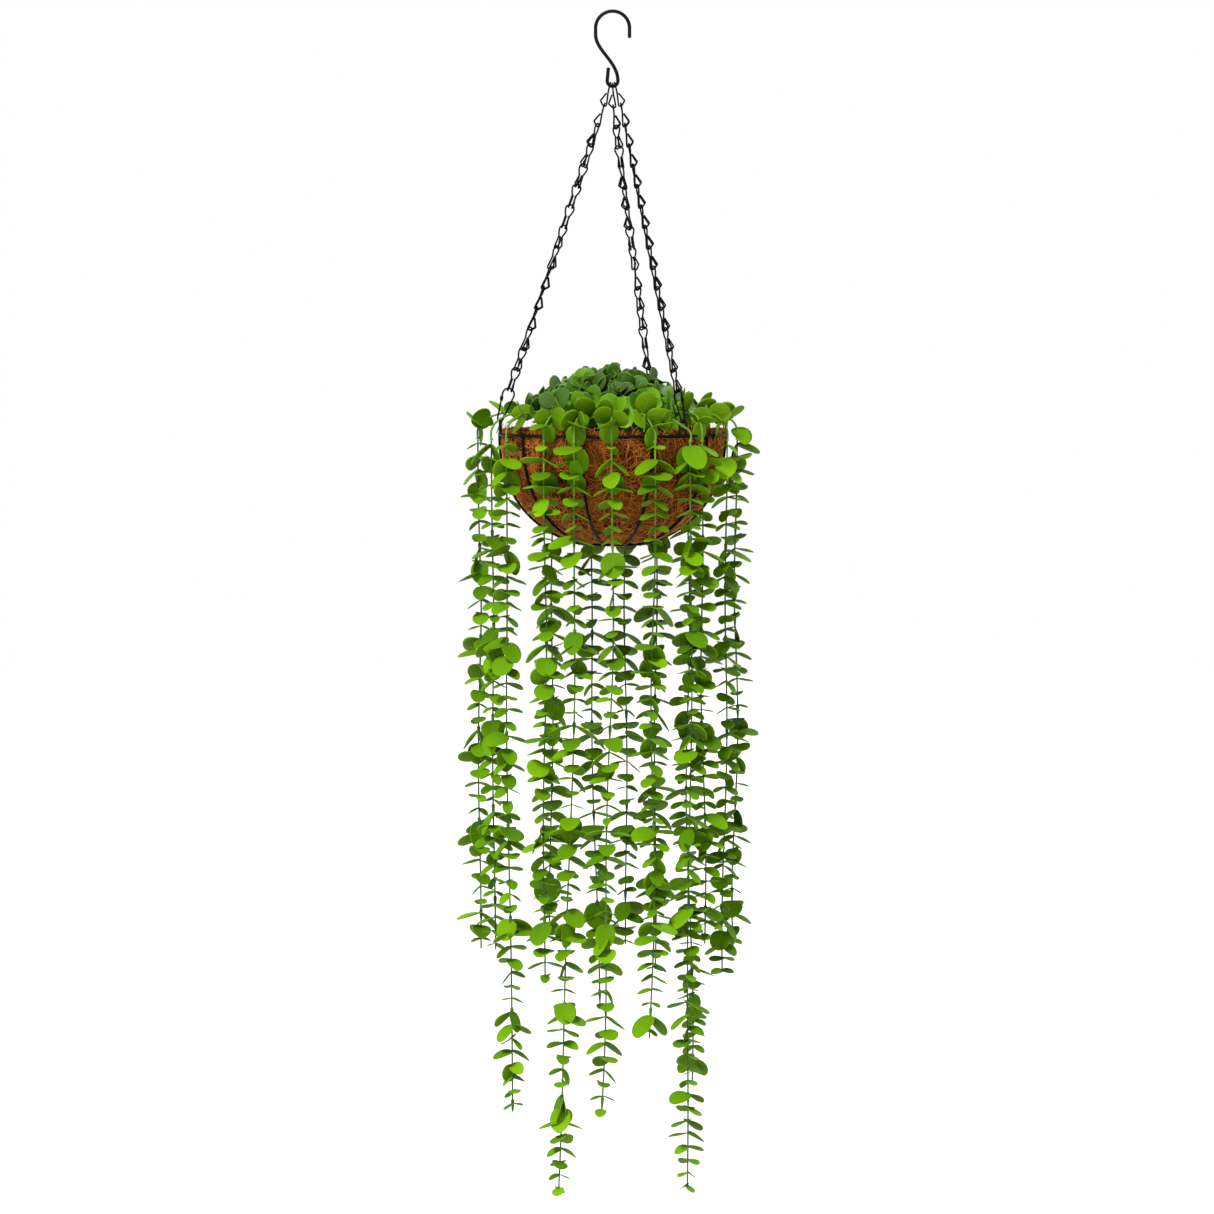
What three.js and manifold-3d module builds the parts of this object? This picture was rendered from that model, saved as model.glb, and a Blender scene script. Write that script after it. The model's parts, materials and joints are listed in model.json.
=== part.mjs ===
// Hanging basket with trailing artificial foliage: an S-shaped hook, three chains of bent wire
// links, three wire clips, a welded wire bowl with a coir liner, and a foam fill that carries a
// branched stem hub, a crown of short sprigs and long vines that hang over the rim.
//
// Millimetres, +Z up. The origin is the underside of the hook's crown, where the basket hangs.
// Azimuths are in degrees from the front, which faces -Y, and grow towards +X.

import * as THREE from 'three';
import { mergeVertices } from 'three/addons/utils/BufferGeometryUtils.js';
import Module from 'manifold-3d';

const wasm = await Module();
wasm.setup();

// ---- Driving dimensions -------------------------------------------------------------------

const clearance = 0.35;        // left between wires that touch or run on each other
const seam = 0.3;              // left where a welded or pushed-in piece meets its neighbour

const hookWire = 4;
const crownInnerR = 17;        // inside radius of the crown that goes over a bar
const crownTip = 11;           // straight end of the crown's open side
const hookHeight = 88;         // outside of the crown to outside of the lower bend
const bendInnerR = 4;          // inside radius of the lower bend that holds the chains
const bendLeg = 15;            // closing leg of the lower bend
const bendLegLean = 1.4;       // how far that leg leans in towards the shank

const linkWire = 1.8;
const linkBulbR = 4.7;         // wire centre of a link's round top
const linkPitch = 24.1;       // from a link's top to the next link's top
const linkNeck = 12.2;         // below the top, where the two sides have closed in
const linkLegGap = 4.2;        // between the wire centres of the two legs
const linkFoldReach = 5.2;     // how far the fold's corner stands out
const linkFoldRise = 4.6;      // how far that corner is above the fold's bottom
const linkCount = 15;
const linkFuse = 0.6;          // overlap of links that share a node, which are joined

const clipWire = 2;
const clipTopR = 6.6;          // wire centre of the clip's wide end
const clipEndR = 3.2;          // wire centre of its narrow end
const clipSpan = 38;           // between the wire centres of its two ends
const clipMouth = 2.6;         // between the wire's two ends, on one side under the wide end

const rimR = 127;              // wire centre of the rim
const rimWire = 3.4;
const loopWire = 2.6;
const loopHalfWidth = 4.7;     // wire centre of a rim loop's legs from its middle
const loopHeight = 19;         // outside of a rim loop above the rim's wire centre

const bowlDepth = 127;         // wire centre of the ribs at the axis, under the rim
const bowlPower = 2.2;         // squareness of the bowl's side: 2 is an ellipse
const ribWire = 3;
const ribCount = 10;
const firstRib = 20;           // azimuth
const baseRingR = 36;
const baseRingWire = 3;

const linerThickness = 7;
const linerStandUp = 5;        // height of the liner's edge above the rim's wire centre
const foamBelowRim = 10;
const foamGap = 1;

const hubR = 7;
const hubDepth = 60;           // of the hub's stalk in the foam
const hubAboveRim = 12;
const armWire = 3.2;
const armCrest = 26;           // height of an arm's middle over the rim's wire centre
const armDrop = 6;             // how far an arm's end hangs below the rim
const vineGap = 1;             // between an arm's end and the vine that swings under it

const vineStem = 2.2;
const segmentLength = 103;     // of one moulded length of vine
const leafLength = 20;         // stem to tip, on the largest pair of a segment
const leafWidth = 18;
const leafThickness = 1;

const sprigPeg = 5;
const sprigPegDepth = 22;
const sprigRing = 62;          // radius of the ring of outer sprigs
const sprigHeight = 58;        // of an outer sprig above the rim
const crownHeight = 78;        // of the middle sprig above the rim
const crownLeafLength = 26;
const crownLeafWidth = 24;

// Each chain hangs on the hook beside the last one. seat counts places on the lower bend from
// its middle, shift is how far the first link's foot swings to the side, facing is the side that
// the first link's fold stands out to, and twist is what the chain turns about its own line.
const chains = [
  { name: 'left', azimuth: -82, seat: -1, shift: -7.94, facing: -1, twist: 262 },
  { name: 'back', azimuth: 158, seat: 0, shift: 1.21, facing: -1, twist: 562 },
  { name: 'right', azimuth: 38, seat: 1, shift: 7.94, facing: 1, twist: -38 },
];

// Each vine hangs at its own azimuth, at a distance beyond the rim's wire centre. Its arm crosses
// the rim at over, which differs from the azimuth only where a chain stands in the way.
const vines = [
  { name: 'left_side', azimuth: -95, beyond: 25, length: 575, over: -97 },
  { name: 'left_front', azimuth: -70, beyond: 17, length: 570, over: -68 },
  { name: 'left_corner', azimuth: -55, beyond: 17, length: 749, over: -55 },
  { name: 'front_left', azimuth: -33, beyond: 13, length: 595, over: -33 },
  { name: 'front_left_inner', azimuth: -17.5, beyond: 15, length: 832, over: -17.5 },
  { name: 'front_middle', azimuth: -0.5, beyond: 15, length: 744, over: -0.5 },
  { name: 'front_right_inner', azimuth: 19.5, beyond: 14, length: 662, over: 17 },
  { name: 'front_right', azimuth: 37, beyond: 16, length: 832, over: 29 },
  { name: 'right_corner', azimuth: 47, beyond: 9, length: 560, over: 49 },
  { name: 'right_front', azimuth: 66, beyond: 13, length: 595, over: 66 },
  { name: 'right_side', azimuth: 88, beyond: 13, length: 573, over: 88 },
  { name: 'back_right_corner', azimuth: 145, beyond: 20, length: 736, over: 140 },
  { name: 'back_right', azimuth: 161, beyond: 24, length: 610, over: 167 },
  { name: 'back_middle', azimuth: 174, beyond: 23, length: 582, over: 177 },
  { name: 'back_left_inner', azimuth: -170, beyond: 22, length: 650, over: -170 },
  { name: 'back_left', azimuth: -153, beyond: 21, length: 560, over: -153 },
];

const outerSprigs = [8, 57, 114, 199, 236, 284, 316];   // azimuths

// ---- Materials ----------------------------------------------------------------------------

const blackWire = new THREE.MeshStandardMaterial({ color: 0x141414, roughness: 0.45, metalness: 0.3 });
const coir = new THREE.MeshStandardMaterial({ color: 0x9a5a2c, roughness: 0.95, metalness: 0 });
const foam = new THREE.MeshStandardMaterial({ color: 0x3f5a2c, roughness: 0.95, metalness: 0 });
const stalk = new THREE.MeshStandardMaterial({ color: 0x4f8a1e, roughness: 0.6, metalness: 0 });
const leaf = new THREE.MeshStandardMaterial({ color: 0x5fa010, roughness: 0.5, metalness: 0 });
const darkLeaf = new THREE.MeshStandardMaterial({ color: 0x2f6a14, roughness: 0.5, metalness: 0 });

// ---- Making shapes ------------------------------------------------------------------------

const rad = THREE.MathUtils.degToRad;

function polar(azimuth, radius, z) {
  return new THREE.Vector3(radius * Math.sin(rad(azimuth)), -radius * Math.cos(rad(azimuth)), z);
}

// A curve that is stepped from one of its points to the next, so that a wire has short steps
// only where it bends.
class WireCurve extends THREE.CatmullRomCurve3 {
  getUtoTmapping(u) {
    return u;
  }
}

function roundSection(diameter, sides) {
  const shape = new THREE.Shape();
  for (let i = 0; i < sides; i += 1) {
    const angle = (2 * Math.PI * (i + 0.5)) / sides;
    const x = (diameter / 2) * Math.cos(angle);
    const y = (diameter / 2) * Math.sin(angle);
    if (i === 0) {
      shape.moveTo(x, y);
    } else {
      shape.lineTo(x, y);
    }
  }
  shape.closePath();
  return shape;
}

function wire(points, diameter, sides) {
  const curve = new WireCurve(points, false, 'catmullrom', 0.5);
  const steps = points.length - 1;
  return new THREE.ExtrudeGeometry(roundSection(diameter, sides), { steps, extrudePath: curve });
}

// Points round an arc in the plane of two directions, from one angle to another in degrees.
function arc(centre, across, up, radius, from, to, steps) {
  const points = [];
  for (let i = 0; i <= steps; i += 1) {
    const angle = rad(from + ((to - from) * i) / steps);
    points.push(centre.clone()
      .addScaledVector(across, radius * Math.cos(angle))
      .addScaledVector(up, radius * Math.sin(angle)));
  }
  return points;
}

// A profile of [radius, height] pairs turned about the Z axis.
function turned(profile, segments) {
  const geometry = new THREE.LatheGeometry(profile.map(([r, z]) => new THREE.Vector2(r, z)), segments);
  return geometry.rotateX(Math.PI / 2);
}

function ring(radius, diameter, z, sides, segments) {
  const profile = [];
  for (let i = 0; i <= sides; i += 1) {
    const angle = (2 * Math.PI * (i % sides)) / sides;
    profile.push([radius + (diameter / 2) * Math.cos(angle), z + (diameter / 2) * Math.sin(angle)]);
  }
  return turned(profile, segments);
}

function toSolid(geometry) {
  const plain = geometry.clone();
  plain.deleteAttribute('normal');
  plain.deleteAttribute('uv');
  const merged = mergeVertices(plain, 1e-4);
  return new wasm.Manifold(new wasm.Mesh({
    numProp: 3,
    vertProperties: new Float32Array(merged.attributes.position.array),
    triVerts: new Uint32Array(merged.index.array),
  }));
}

function toGeometry(solid) {
  const mesh = solid.getMesh();
  const geometry = new THREE.BufferGeometry();
  geometry.setAttribute('position', new THREE.BufferAttribute(mesh.vertProperties, 3));
  geometry.setIndex(new THREE.BufferAttribute(mesh.triVerts, 1));
  geometry.computeVertexNormals();
  return geometry;
}

function joined(geometries) {
  return toGeometry(geometries.map(toSolid).reduce((whole, next) => whole.add(next)));
}

const group = new THREE.Group();

function place(name, geometry, material) {
  const mesh = new THREE.Mesh(geometry, material);
  mesh.name = name;
  group.add(mesh);
  return mesh;
}

const X = new THREE.Vector3(1, 0, 0);
const Y = new THREE.Vector3(0, 1, 0);
const Z = new THREE.Vector3(0, 0, 1);

// ---- Hook ---------------------------------------------------------------------------------

const crownR = crownInnerR + hookWire / 2;
const crownCentre = new THREE.Vector3(0, 0, -crownInnerR);
const bendR = bendInnerR + hookWire / 2;
const bendCentre = new THREE.Vector3(0, 0, 3 * hookWire / 2 - hookHeight + bendR);

function hook() {
  const tip = new THREE.Vector3(crownR, 0, crownCentre.z - crownTip);
  const crown = arc(crownCentre, X, Z, crownR, 0, 180, 10);
  const shankTop = new THREE.Vector3(-crownR, 0, crownCentre.z - 7);
  const bendStart = new THREE.Vector3(bendR, 0, bendCentre.z);
  const shankLength = shankTop.z - bendStart.z;
  const shank = new THREE.CubicBezierCurve3(
    shankTop,
    new THREE.Vector3(-crownR, 0, shankTop.z - 0.35 * shankLength),
    new THREE.Vector3(bendR, 0, bendStart.z + 0.42 * shankLength),
    bendStart,
  );
  const bend = arc(bendCentre, X, Z, bendR, 0, -180, 8);
  const end = new THREE.Vector3(-bendR + bendLegLean, 0, bendCentre.z + bendLeg);
  const points = [tip, ...crown, ...shank.getPoints(8).slice(0, -1), ...bend, end];
  return wire(points, hookWire, 8);
}

place('hook', hook(), blackWire);

// ---- Chains and clips ---------------------------------------------------------------------

// How far the bottom of a link's fold lies under the top of the round wire that hangs in it:
// the fold's two legs touch that round on either side of its top.
function seatDepth(roundR, roundWire, gap) {
  const reach = roundR - roundWire / 2 - linkWire / 2 - gap;
  return roundR - Math.sqrt(reach ** 2 - (linkLegGap / 2) ** 2);
}

const linkSeat = seatDepth(linkBulbR, linkWire, clearance);
const fusedSeat = seatDepth(linkBulbR, linkWire, -linkFuse);
const clipSeat = seatDepth(clipTopR, clipWire, clearance);
const loopTop = loopHeight - loopWire / 2;
const clipUnderLoop = loopWire / 2 + clipWire / 2 + clearance;

// One side of a link, from the middle of its round top to its free end, as [across, out, down].
function linkSide(foldBottom) {
  const corner = linkBulbR / Math.cos(Math.PI / 8);
  const leg = linkLegGap / 2;
  return [
    [corner * Math.sin(Math.PI / 4), 0, linkBulbR - corner * Math.cos(Math.PI / 4)],
    [corner, 0, linkBulbR],
    [leg + 0.5, -0.4, linkNeck],
    [leg, -2.6, foldBottom - 1.6],
    [leg, 0.6, foldBottom],
    [leg, linkFoldReach, foldBottom - linkFoldRise],
    [leg - 0.8, 1.1, linkNeck + 0.4],
  ];
}

// A link whose round top is centred at top, with its chain running down along -up, and the
// next link's round lying seat above the bottom of its fold. Its wire has few sides, because
// a chain has many links.
function link(top, up, across, seat, sides) {
  const out = new THREE.Vector3().crossVectors(up, across);
  const at = ([a, o, d]) => top.clone()
    .addScaledVector(across, a)
    .addScaledVector(out, o)
    .addScaledVector(up, -d);
  const side = linkSide(linkPitch + seat);
  const crest = [0, 0, linkBulbR - linkBulbR / Math.cos(Math.PI / 8)];
  const other = side.map(([a, o, d]) => [-a, o, d]).reverse();
  return wire([...other, crest, ...side].map(at), linkWire, sides);
}

// A clip with its wide end centred at top, in the plane of up and across.
function clip(top, up, across) {
  const wide = top.clone().addScaledVector(up, -clipTopR);
  const narrow = top.clone().addScaledVector(up, -clipSpan + clipEndR);
  const start = wide.clone().addScaledVector(across, -clipTopR + 0.3).addScaledVector(up, -clipMouth);
  const points = [
    start,
    ...arc(narrow, across, up, clipEndR, -170, -10, 5),
    ...arc(wide, across, up, clipTopR, -10, 180, 7),
  ];
  return wire(points, clipWire, 5);
}

// Where a chain's first link hangs on the lower bend, and the middle of its second link's round,
// which rolls in the first link's fold. From there the chain runs straight to its rim loop.
function chainTop({ seat, shift }) {
  const reach = bendInnerR - linkWire / 2 - clearance;
  const side = seat * (linkWire + clearance);
  const first = new THREE.Vector3(side, 0, bendCentre.z - Math.sqrt(reach ** 2 - side ** 2));
  const drop = linkPitch + linkBulbR;
  const up = new THREE.Vector3(-shift / drop, 0, Math.sqrt(1 - (shift / drop) ** 2));
  return { first, up, pivot: first.clone().addScaledVector(up, -drop) };
}

// A chain's length from that pivot to its clip's top wire, and on to the top of the rim loop.
const chainRun = (linkCount - 1) * linkPitch + linkSeat - clipSeat - linkBulbR;
const clipRun = clipSpan - clipUnderLoop;

// The rim hangs at the mean of the depths that the three chains give it.
function hangingDepth(chain) {
  const { pivot } = chainTop(chain);
  const foot = polar(chain.azimuth, rimR, 0);
  const spread = Math.hypot(foot.x - pivot.x, foot.y - pivot.y);
  return pivot.z - Math.sqrt((chainRun + clipRun) ** 2 - spread ** 2) - loopTop;
}

const rimZ = chains.map(hangingDepth).reduce((sum, z) => sum + z, 0) / chains.length;

// Links are numbered from the hook, and every run of them after the first is one node.
const runs = [[1, 1], [2, 6], [7, 11], [12, linkCount]];

// A chain turns about its line only between links that share a node.
function turnsBelow(number) {
  return runs.reduce((sum, [from, to]) => sum + Math.max(0, to - Math.max(from, number)), 0);
}

for (const chain of chains) {
  const { first, up: firstUp, pivot } = chainTop(chain);
  const loop = polar(chain.azimuth, rimR, rimZ + loopTop);
  const up = new THREE.Vector3().subVectors(pivot, loop).normalize();
  const radial = polar(chain.azimuth, 1, 0);
  const clipAcross = radial.clone().addScaledVector(up, -radial.dot(up)).normalize();
  const second = pivot.clone().addScaledVector(up, linkBulbR);
  const clipTop = loop.clone().addScaledVector(up, clipRun);
  const pitch = (second.distanceTo(clipTop) + clipSeat - linkSeat) / (linkCount - 1);
  const flat = clipAcross.clone();
  const linkAt = (number, seat) => {
    if (number === 1) {
      return link(first, firstUp, Y.clone().multiplyScalar(-chain.facing), seat, 4);
    }
    const turn = rad(chain.twist * turnsBelow(number) / turnsBelow(1));
    const across = flat.clone().applyAxisAngle(up, turn);
    const top = second.clone().addScaledVector(up, -(number - 2) * pitch);
    return link(top, up, across, seat, 3);
  };
  for (const [from, to] of runs) {
    const links = [];
    for (let number = from; number <= to; number += 1) {
      links.push(linkAt(number, number === to ? linkSeat : fusedSeat));
    }
    const label = from === to ? `link_${from}` : `links_${from}_to_${to}`;
    place(`chain_${chain.name}_${label}`, links.length > 1 ? joined(links) : links[0], blackWire);
  }
  place(`clip_${chain.name}`, clip(clipTop, up, clipAcross), blackWire);
}

// ---- Wire bowl ----------------------------------------------------------------------------

place('rim_ring', ring(rimR, rimWire, rimZ, 6, 36), blackWire);

for (const chain of chains) {
  const centre = polar(chain.azimuth, rimR, rimZ + loopTop - loopHalfWidth);
  const tangent = polar(chain.azimuth + 90, 1, 0);
  const legEnd = rimZ + rimWire / 2 + seam;
  const foot = (side) => {
    const point = centre.clone().addScaledVector(tangent, side * loopHalfWidth);
    return point.setZ(legEnd);
  };
  const points = [foot(1), ...arc(centre, tangent, Z, loopHalfWidth, 0, 180, 6), foot(-1)];
  place(`rim_loop_${chain.name}`, wire(points, loopWire, 6), blackWire);
}

// The bowl's side as a superellipse: radius and depth at an angle from the rim, in radians.
function bowlSide(radius, depth, angle) {
  return [
    radius * Math.cos(angle) ** (2 / bowlPower),
    depth * Math.sin(angle) ** (2 / bowlPower),
  ];
}

function bowlAngleAtRadius(radius, wantedR) {
  return Math.acos((wantedR / radius) ** (bowlPower / 2));
}

const ribEndR = baseRingR + baseRingWire / 2 + seam;
const [, baseRingDepth] = bowlSide(rimR, bowlDepth, bowlAngleAtRadius(rimR, ribEndR));

function rib(azimuth) {
  const steps = 10;
  const start = Math.asin(((rimWire / 2 + seam) / bowlDepth) ** (bowlPower / 2));
  const end = bowlAngleAtRadius(rimR, ribEndR);
  const points = [];
  for (let i = 0; i <= steps; i += 1) {
    const [r, d] = bowlSide(rimR, bowlDepth, start + ((end - start) * i) / steps);
    points.push(polar(azimuth, r, rimZ - d));
  }
  return wire(points, ribWire, 5);
}

for (let i = 0; i < ribCount; i += 1) {
  place(`rib_${i + 1}`, rib(firstRib + (360 * i) / ribCount), blackWire);
}

place('base_ring', ring(baseRingR, baseRingWire, rimZ - baseRingDepth, 5, 20), blackWire);

// ---- Coir liner and foam fill -------------------------------------------------------------

const linerR = rimR - rimWire / 2 - 1;
const linerDepth = bowlDepth - ribWire / 2 - 1;
const linerInnerR = linerR - linerThickness;
const linerInnerDepth = linerDepth - linerThickness;
const bowlSegments = 24;

function linerShell() {
  const steps = 7;
  const outer = [];
  const inner = [];
  for (let i = 0; i <= steps; i += 1) {
    const angle = (Math.PI / 2) * (1 - i / steps);
    const [outR, outD] = bowlSide(linerR, linerDepth, angle);
    const [inR, inD] = bowlSide(linerInnerR, linerInnerDepth, angle);
    outer.push([i === 0 ? 0 : outR, rimZ - outD]);
    inner.push([i === 0 ? 0 : inR, rimZ - inD]);
  }
  const edge = [[linerR, rimZ + linerStandUp], [linerInnerR, rimZ + linerStandUp]];
  return turned([...outer, ...edge, ...inner.reverse()], bowlSegments);
}

place('coir_liner', linerShell(), coir);

const foamTop = rimZ - foamBelowRim;

// A drilled hole's flats touch the round of the wanted diameter.
function drilled(solid, centre, topZ, diameter, depth) {
  const sides = 10;
  const above = 5;
  const cornerR = diameter / 2 / Math.cos(Math.PI / sides);
  const drill = new THREE.CylinderGeometry(cornerR, cornerR, depth + above, sides);
  drill.rotateX(Math.PI / 2);
  drill.translate(centre.x, centre.y, topZ + (above - depth) / 2);
  return solid.subtract(toSolid(drill));
}

function foamBlock() {
  const steps = 5;
  const radius = linerInnerR - foamGap;
  const depth = linerInnerDepth - foamGap;
  const start = Math.asin((foamBelowRim / depth) ** (bowlPower / 2));
  const profile = [];
  for (let i = 0; i <= steps; i += 1) {
    const [r, d] = bowlSide(radius, depth, Math.PI / 2 + ((start - Math.PI / 2) * i) / steps);
    profile.push([i === 0 ? 0 : r, rimZ - d]);
  }
  profile.push([0, foamTop]);
  let solid = toSolid(turned(profile, bowlSegments));
  solid = drilled(solid, new THREE.Vector3(), foamTop, 2 * (hubR + seam), hubDepth + seam);
  for (const azimuth of outerSprigs) {
    const centre = polar(azimuth, sprigRing, 0);
    solid = drilled(solid, centre, foamTop, sprigPeg + 2 * seam, sprigPegDepth + seam);
  }
  return toGeometry(solid);
}

place('foam_fill', foamBlock(), foam);

// ---- Stem hub -----------------------------------------------------------------------------

function arm(vine) {
  const side = 0.35 * (vine.azimuth - vine.over);
  const reach = rimR + vine.beyond;
  const points = [
    polar(vine.over, 0.4 * hubR, rimZ + 4),
    polar(vine.over, 0.33 * rimR, rimZ + 0.72 * armCrest),
    polar(vine.over, 0.66 * rimR, rimZ + armCrest),
    polar(vine.over, 0.93 * rimR, rimZ + 0.94 * armCrest),
    polar(vine.over + side, reach - 6, rimZ + 0.6 * armCrest),
    polar(vine.azimuth, reach, rimZ + 5),
    polar(vine.azimuth, reach, rimZ - armDrop),
  ];
  return wire(points, armWire, 4);
}

function stemHub() {
  const bottom = foamTop - hubDepth;
  const top = rimZ + hubAboveRim;
  const profile = [[0, bottom], [0.7 * hubR, bottom], [hubR, bottom + 4], [hubR, top], [0, top]];
  const solids = [toSolid(turned(profile, 12)), ...vines.map((vine) => toSolid(arm(vine)))];
  const whole = solids.reduce((sum, next) => sum.add(next));
  const socket = drilled(whole, new THREE.Vector3(), top, sprigPeg + 2 * seam, sprigPegDepth + seam);
  return toGeometry(socket);
}

place('stem_hub', stemHub(), stalk);

// ---- Leaves -------------------------------------------------------------------------------

// Two opposite leaves as one flat plate with a waist at the stem, level, pointing along azimuth.
function leafPair(centre, azimuth, length, width) {
  const half = width / 2;
  const shape = new THREE.Shape();
  shape.moveTo(-length, 0);
  shape.lineTo(-0.6 * length, -half);
  shape.lineTo(0, -0.18 * half);
  shape.lineTo(0.6 * length, -half);
  shape.lineTo(length, 0);
  shape.lineTo(0.6 * length, half);
  shape.lineTo(0, 0.18 * half);
  shape.lineTo(-0.6 * length, half);
  shape.closePath();
  const plate = new THREE.ExtrudeGeometry(shape, { depth: leafThickness, bevelEnabled: false });
  plate.translate(0, 0, -leafThickness / 2);
  plate.rotateZ(rad(azimuth - 90));
  return plate.translate(centre.x, centre.y, centre.z);
}

// ---- Crown sprigs -------------------------------------------------------------------------

function sprig(azimuth, ringR, footZ, height, turn) {
  const foot = polar(azimuth, ringR, footZ);
  const top = foot.clone().setZ(rimZ + height);
  const parts = [wire([foot, top], sprigPeg, 6)];
  for (let i = 0; i < 2; i += 1) {
    const level = top.clone().addScaledVector(Z, -3 - 10 * i);
    parts.push(leafPair(level, turn + 90 * i, crownLeafLength, crownLeafWidth));
  }
  return joined(parts);
}

const socketFoot = rimZ + hubAboveRim - sprigPegDepth;
place('sprig_middle', sprig(0, 0, socketFoot, crownHeight, 20), darkLeaf);

outerSprigs.forEach((azimuth, i) => {
  const turn = azimuth + 90;
  const height = sprigHeight - 14 * (i % 2);
  const shape = sprig(azimuth, sprigRing, foamTop - sprigPegDepth, height, turn);
  place(`sprig_${i + 1}`, shape, i % 2 === 0 ? leaf : darkLeaf);
});

// ---- Vines --------------------------------------------------------------------------------

// A vine hangs plumb from its arm's end. Level with the bowl its leaves lie along the rim, and
// below the bowl they turn a quarter from each pair to the next.
function vine({ azimuth, beyond, length }, index) {
  const top = polar(azimuth, rimR + beyond, rimZ - armDrop - vineGap);
  const end = top.clone().setZ(top.z - length);
  const parts = [wire([top, end], vineStem, 5)];
  const stagger = (index % 4) * 0.22;
  const pairs = Math.floor(length / segmentLength / 1.6);
  for (let i = 0; i < pairs; i += 1) {
    const down = 1.6 * segmentLength * (i + 0.2 + stagger);
    const besideBowl = down < bowlDepth;
    const across = besideBowl || i % 2 === 0;
    const size = besideBowl ? 0.5 : 1;
    const level = top.clone().addScaledVector(Z, -Math.min(down, length - 6));
    parts.push(leafPair(level, across ? azimuth + 90 : azimuth, size * leafLength, size * leafWidth));
  }
  return joined(parts);
}

vines.forEach((shape, index) => {
  place(`vine_${shape.name}`, vine(shape, index), leaf);
});

export default group;
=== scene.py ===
import json
import math
import random

import bpy
from mathutils import Matrix, Quaternion, Vector, noise

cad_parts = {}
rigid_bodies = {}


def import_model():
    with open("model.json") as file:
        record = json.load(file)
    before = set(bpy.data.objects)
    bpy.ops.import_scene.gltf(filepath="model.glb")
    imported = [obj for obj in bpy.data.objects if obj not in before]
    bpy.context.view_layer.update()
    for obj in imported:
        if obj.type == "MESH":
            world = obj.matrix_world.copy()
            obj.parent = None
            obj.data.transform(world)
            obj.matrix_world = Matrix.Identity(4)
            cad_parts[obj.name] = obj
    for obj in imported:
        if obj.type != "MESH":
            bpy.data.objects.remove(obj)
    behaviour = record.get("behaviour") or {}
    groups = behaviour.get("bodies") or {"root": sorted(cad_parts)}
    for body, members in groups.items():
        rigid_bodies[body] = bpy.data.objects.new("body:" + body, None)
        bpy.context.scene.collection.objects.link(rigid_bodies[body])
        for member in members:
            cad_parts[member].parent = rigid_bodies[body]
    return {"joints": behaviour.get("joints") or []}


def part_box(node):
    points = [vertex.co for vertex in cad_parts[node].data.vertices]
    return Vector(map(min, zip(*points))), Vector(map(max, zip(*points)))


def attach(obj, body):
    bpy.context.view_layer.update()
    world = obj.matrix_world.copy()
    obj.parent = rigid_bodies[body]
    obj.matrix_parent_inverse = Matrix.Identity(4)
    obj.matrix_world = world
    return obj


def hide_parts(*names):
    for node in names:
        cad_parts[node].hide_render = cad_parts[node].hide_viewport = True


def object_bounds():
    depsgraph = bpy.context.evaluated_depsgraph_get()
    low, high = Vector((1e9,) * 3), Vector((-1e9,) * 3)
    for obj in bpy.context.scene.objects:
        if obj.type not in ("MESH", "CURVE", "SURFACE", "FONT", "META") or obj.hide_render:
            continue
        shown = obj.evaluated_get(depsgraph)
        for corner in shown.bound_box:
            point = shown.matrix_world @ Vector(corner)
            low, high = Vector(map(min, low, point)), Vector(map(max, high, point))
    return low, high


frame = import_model()
scene = bpy.context.scene
cad_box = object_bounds()
joints = {joint["name"]: joint for joint in frame["joints"]}

# ---- Studio -------------------------------------------------------------------------------
# The basket hangs well above a wide pale floor. One broad soft light stands high on the left
# in front, the white room gives the rest, and a long lens looks from just above the rim.
camera_distance = 9.0
camera_elevation = math.radians(2.7)
frame_width = 1.3645
aim_offset = Vector((-0.0005, 0, -0.0127))
floor_drop = 1.1
floor_half = 30.0

scene.view_settings.view_transform = "Standard"

box_centre = (cad_box[0] + cad_box[1]) / 2
aim = Vector((box_centre.x, 0, box_centre.z)) + aim_offset
back = Vector((0, -math.cos(camera_elevation), math.sin(camera_elevation)))
camera_data = bpy.data.cameras.new("camera")
camera_data.sensor_width = 36.0
camera_data.lens = camera_data.sensor_width * camera_distance / frame_width
camera = bpy.data.objects.new("camera", camera_data)
camera.location = aim + camera_distance * back
camera.rotation_euler = back.to_track_quat("Z", "Y").to_euler()
scene.collection.objects.link(camera)
scene.camera = camera


def soft_sun(name, azimuth, elevation, strength, spread):
    """A distant soft light at an azimuth from the front and an elevation, in degrees."""
    data = bpy.data.lights.new(name, "SUN")
    data.energy = strength
    data.angle = math.radians(spread)
    light = bpy.data.objects.new(name, data)
    across, up = math.radians(azimuth), math.radians(elevation)
    towards = Vector(
        (math.sin(across) * math.cos(up), -math.cos(across) * math.cos(up), math.sin(up))
    )
    light.rotation_euler = towards.to_track_quat("Z", "Y").to_euler()
    scene.collection.objects.link(light)


soft_sun("key_light", azimuth=-30, elevation=50, strength=3.35, spread=15)
soft_sun("rim_light", azimuth=150, elevation=35, strength=0.8, spread=40)

room = bpy.data.worlds.new("room")
room.use_nodes = True
scene.world = room


class Flow:
    """A node's socket. Arithmetic on it adds Math nodes to its sheet."""

    def __init__(self, sheet, socket):
        self.sheet = sheet
        self.socket = socket

    def maths(self, operation, *values):
        return self.sheet.node(
            "ShaderNodeMath", {"operation": operation}, dict(enumerate(values))
        )

    def __add__(self, other):
        return self.maths("ADD", self, other)

    def __radd__(self, other):
        return self.maths("ADD", other, self)

    def __sub__(self, other):
        return self.maths("SUBTRACT", self, other)

    def __rsub__(self, other):
        return self.maths("SUBTRACT", other, self)

    def __mul__(self, other):
        return self.maths("MULTIPLY", self, other)

    def __rmul__(self, other):
        return self.maths("MULTIPLY", other, self)

    def __abs__(self):
        return self.maths("ABSOLUTE", self)


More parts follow.
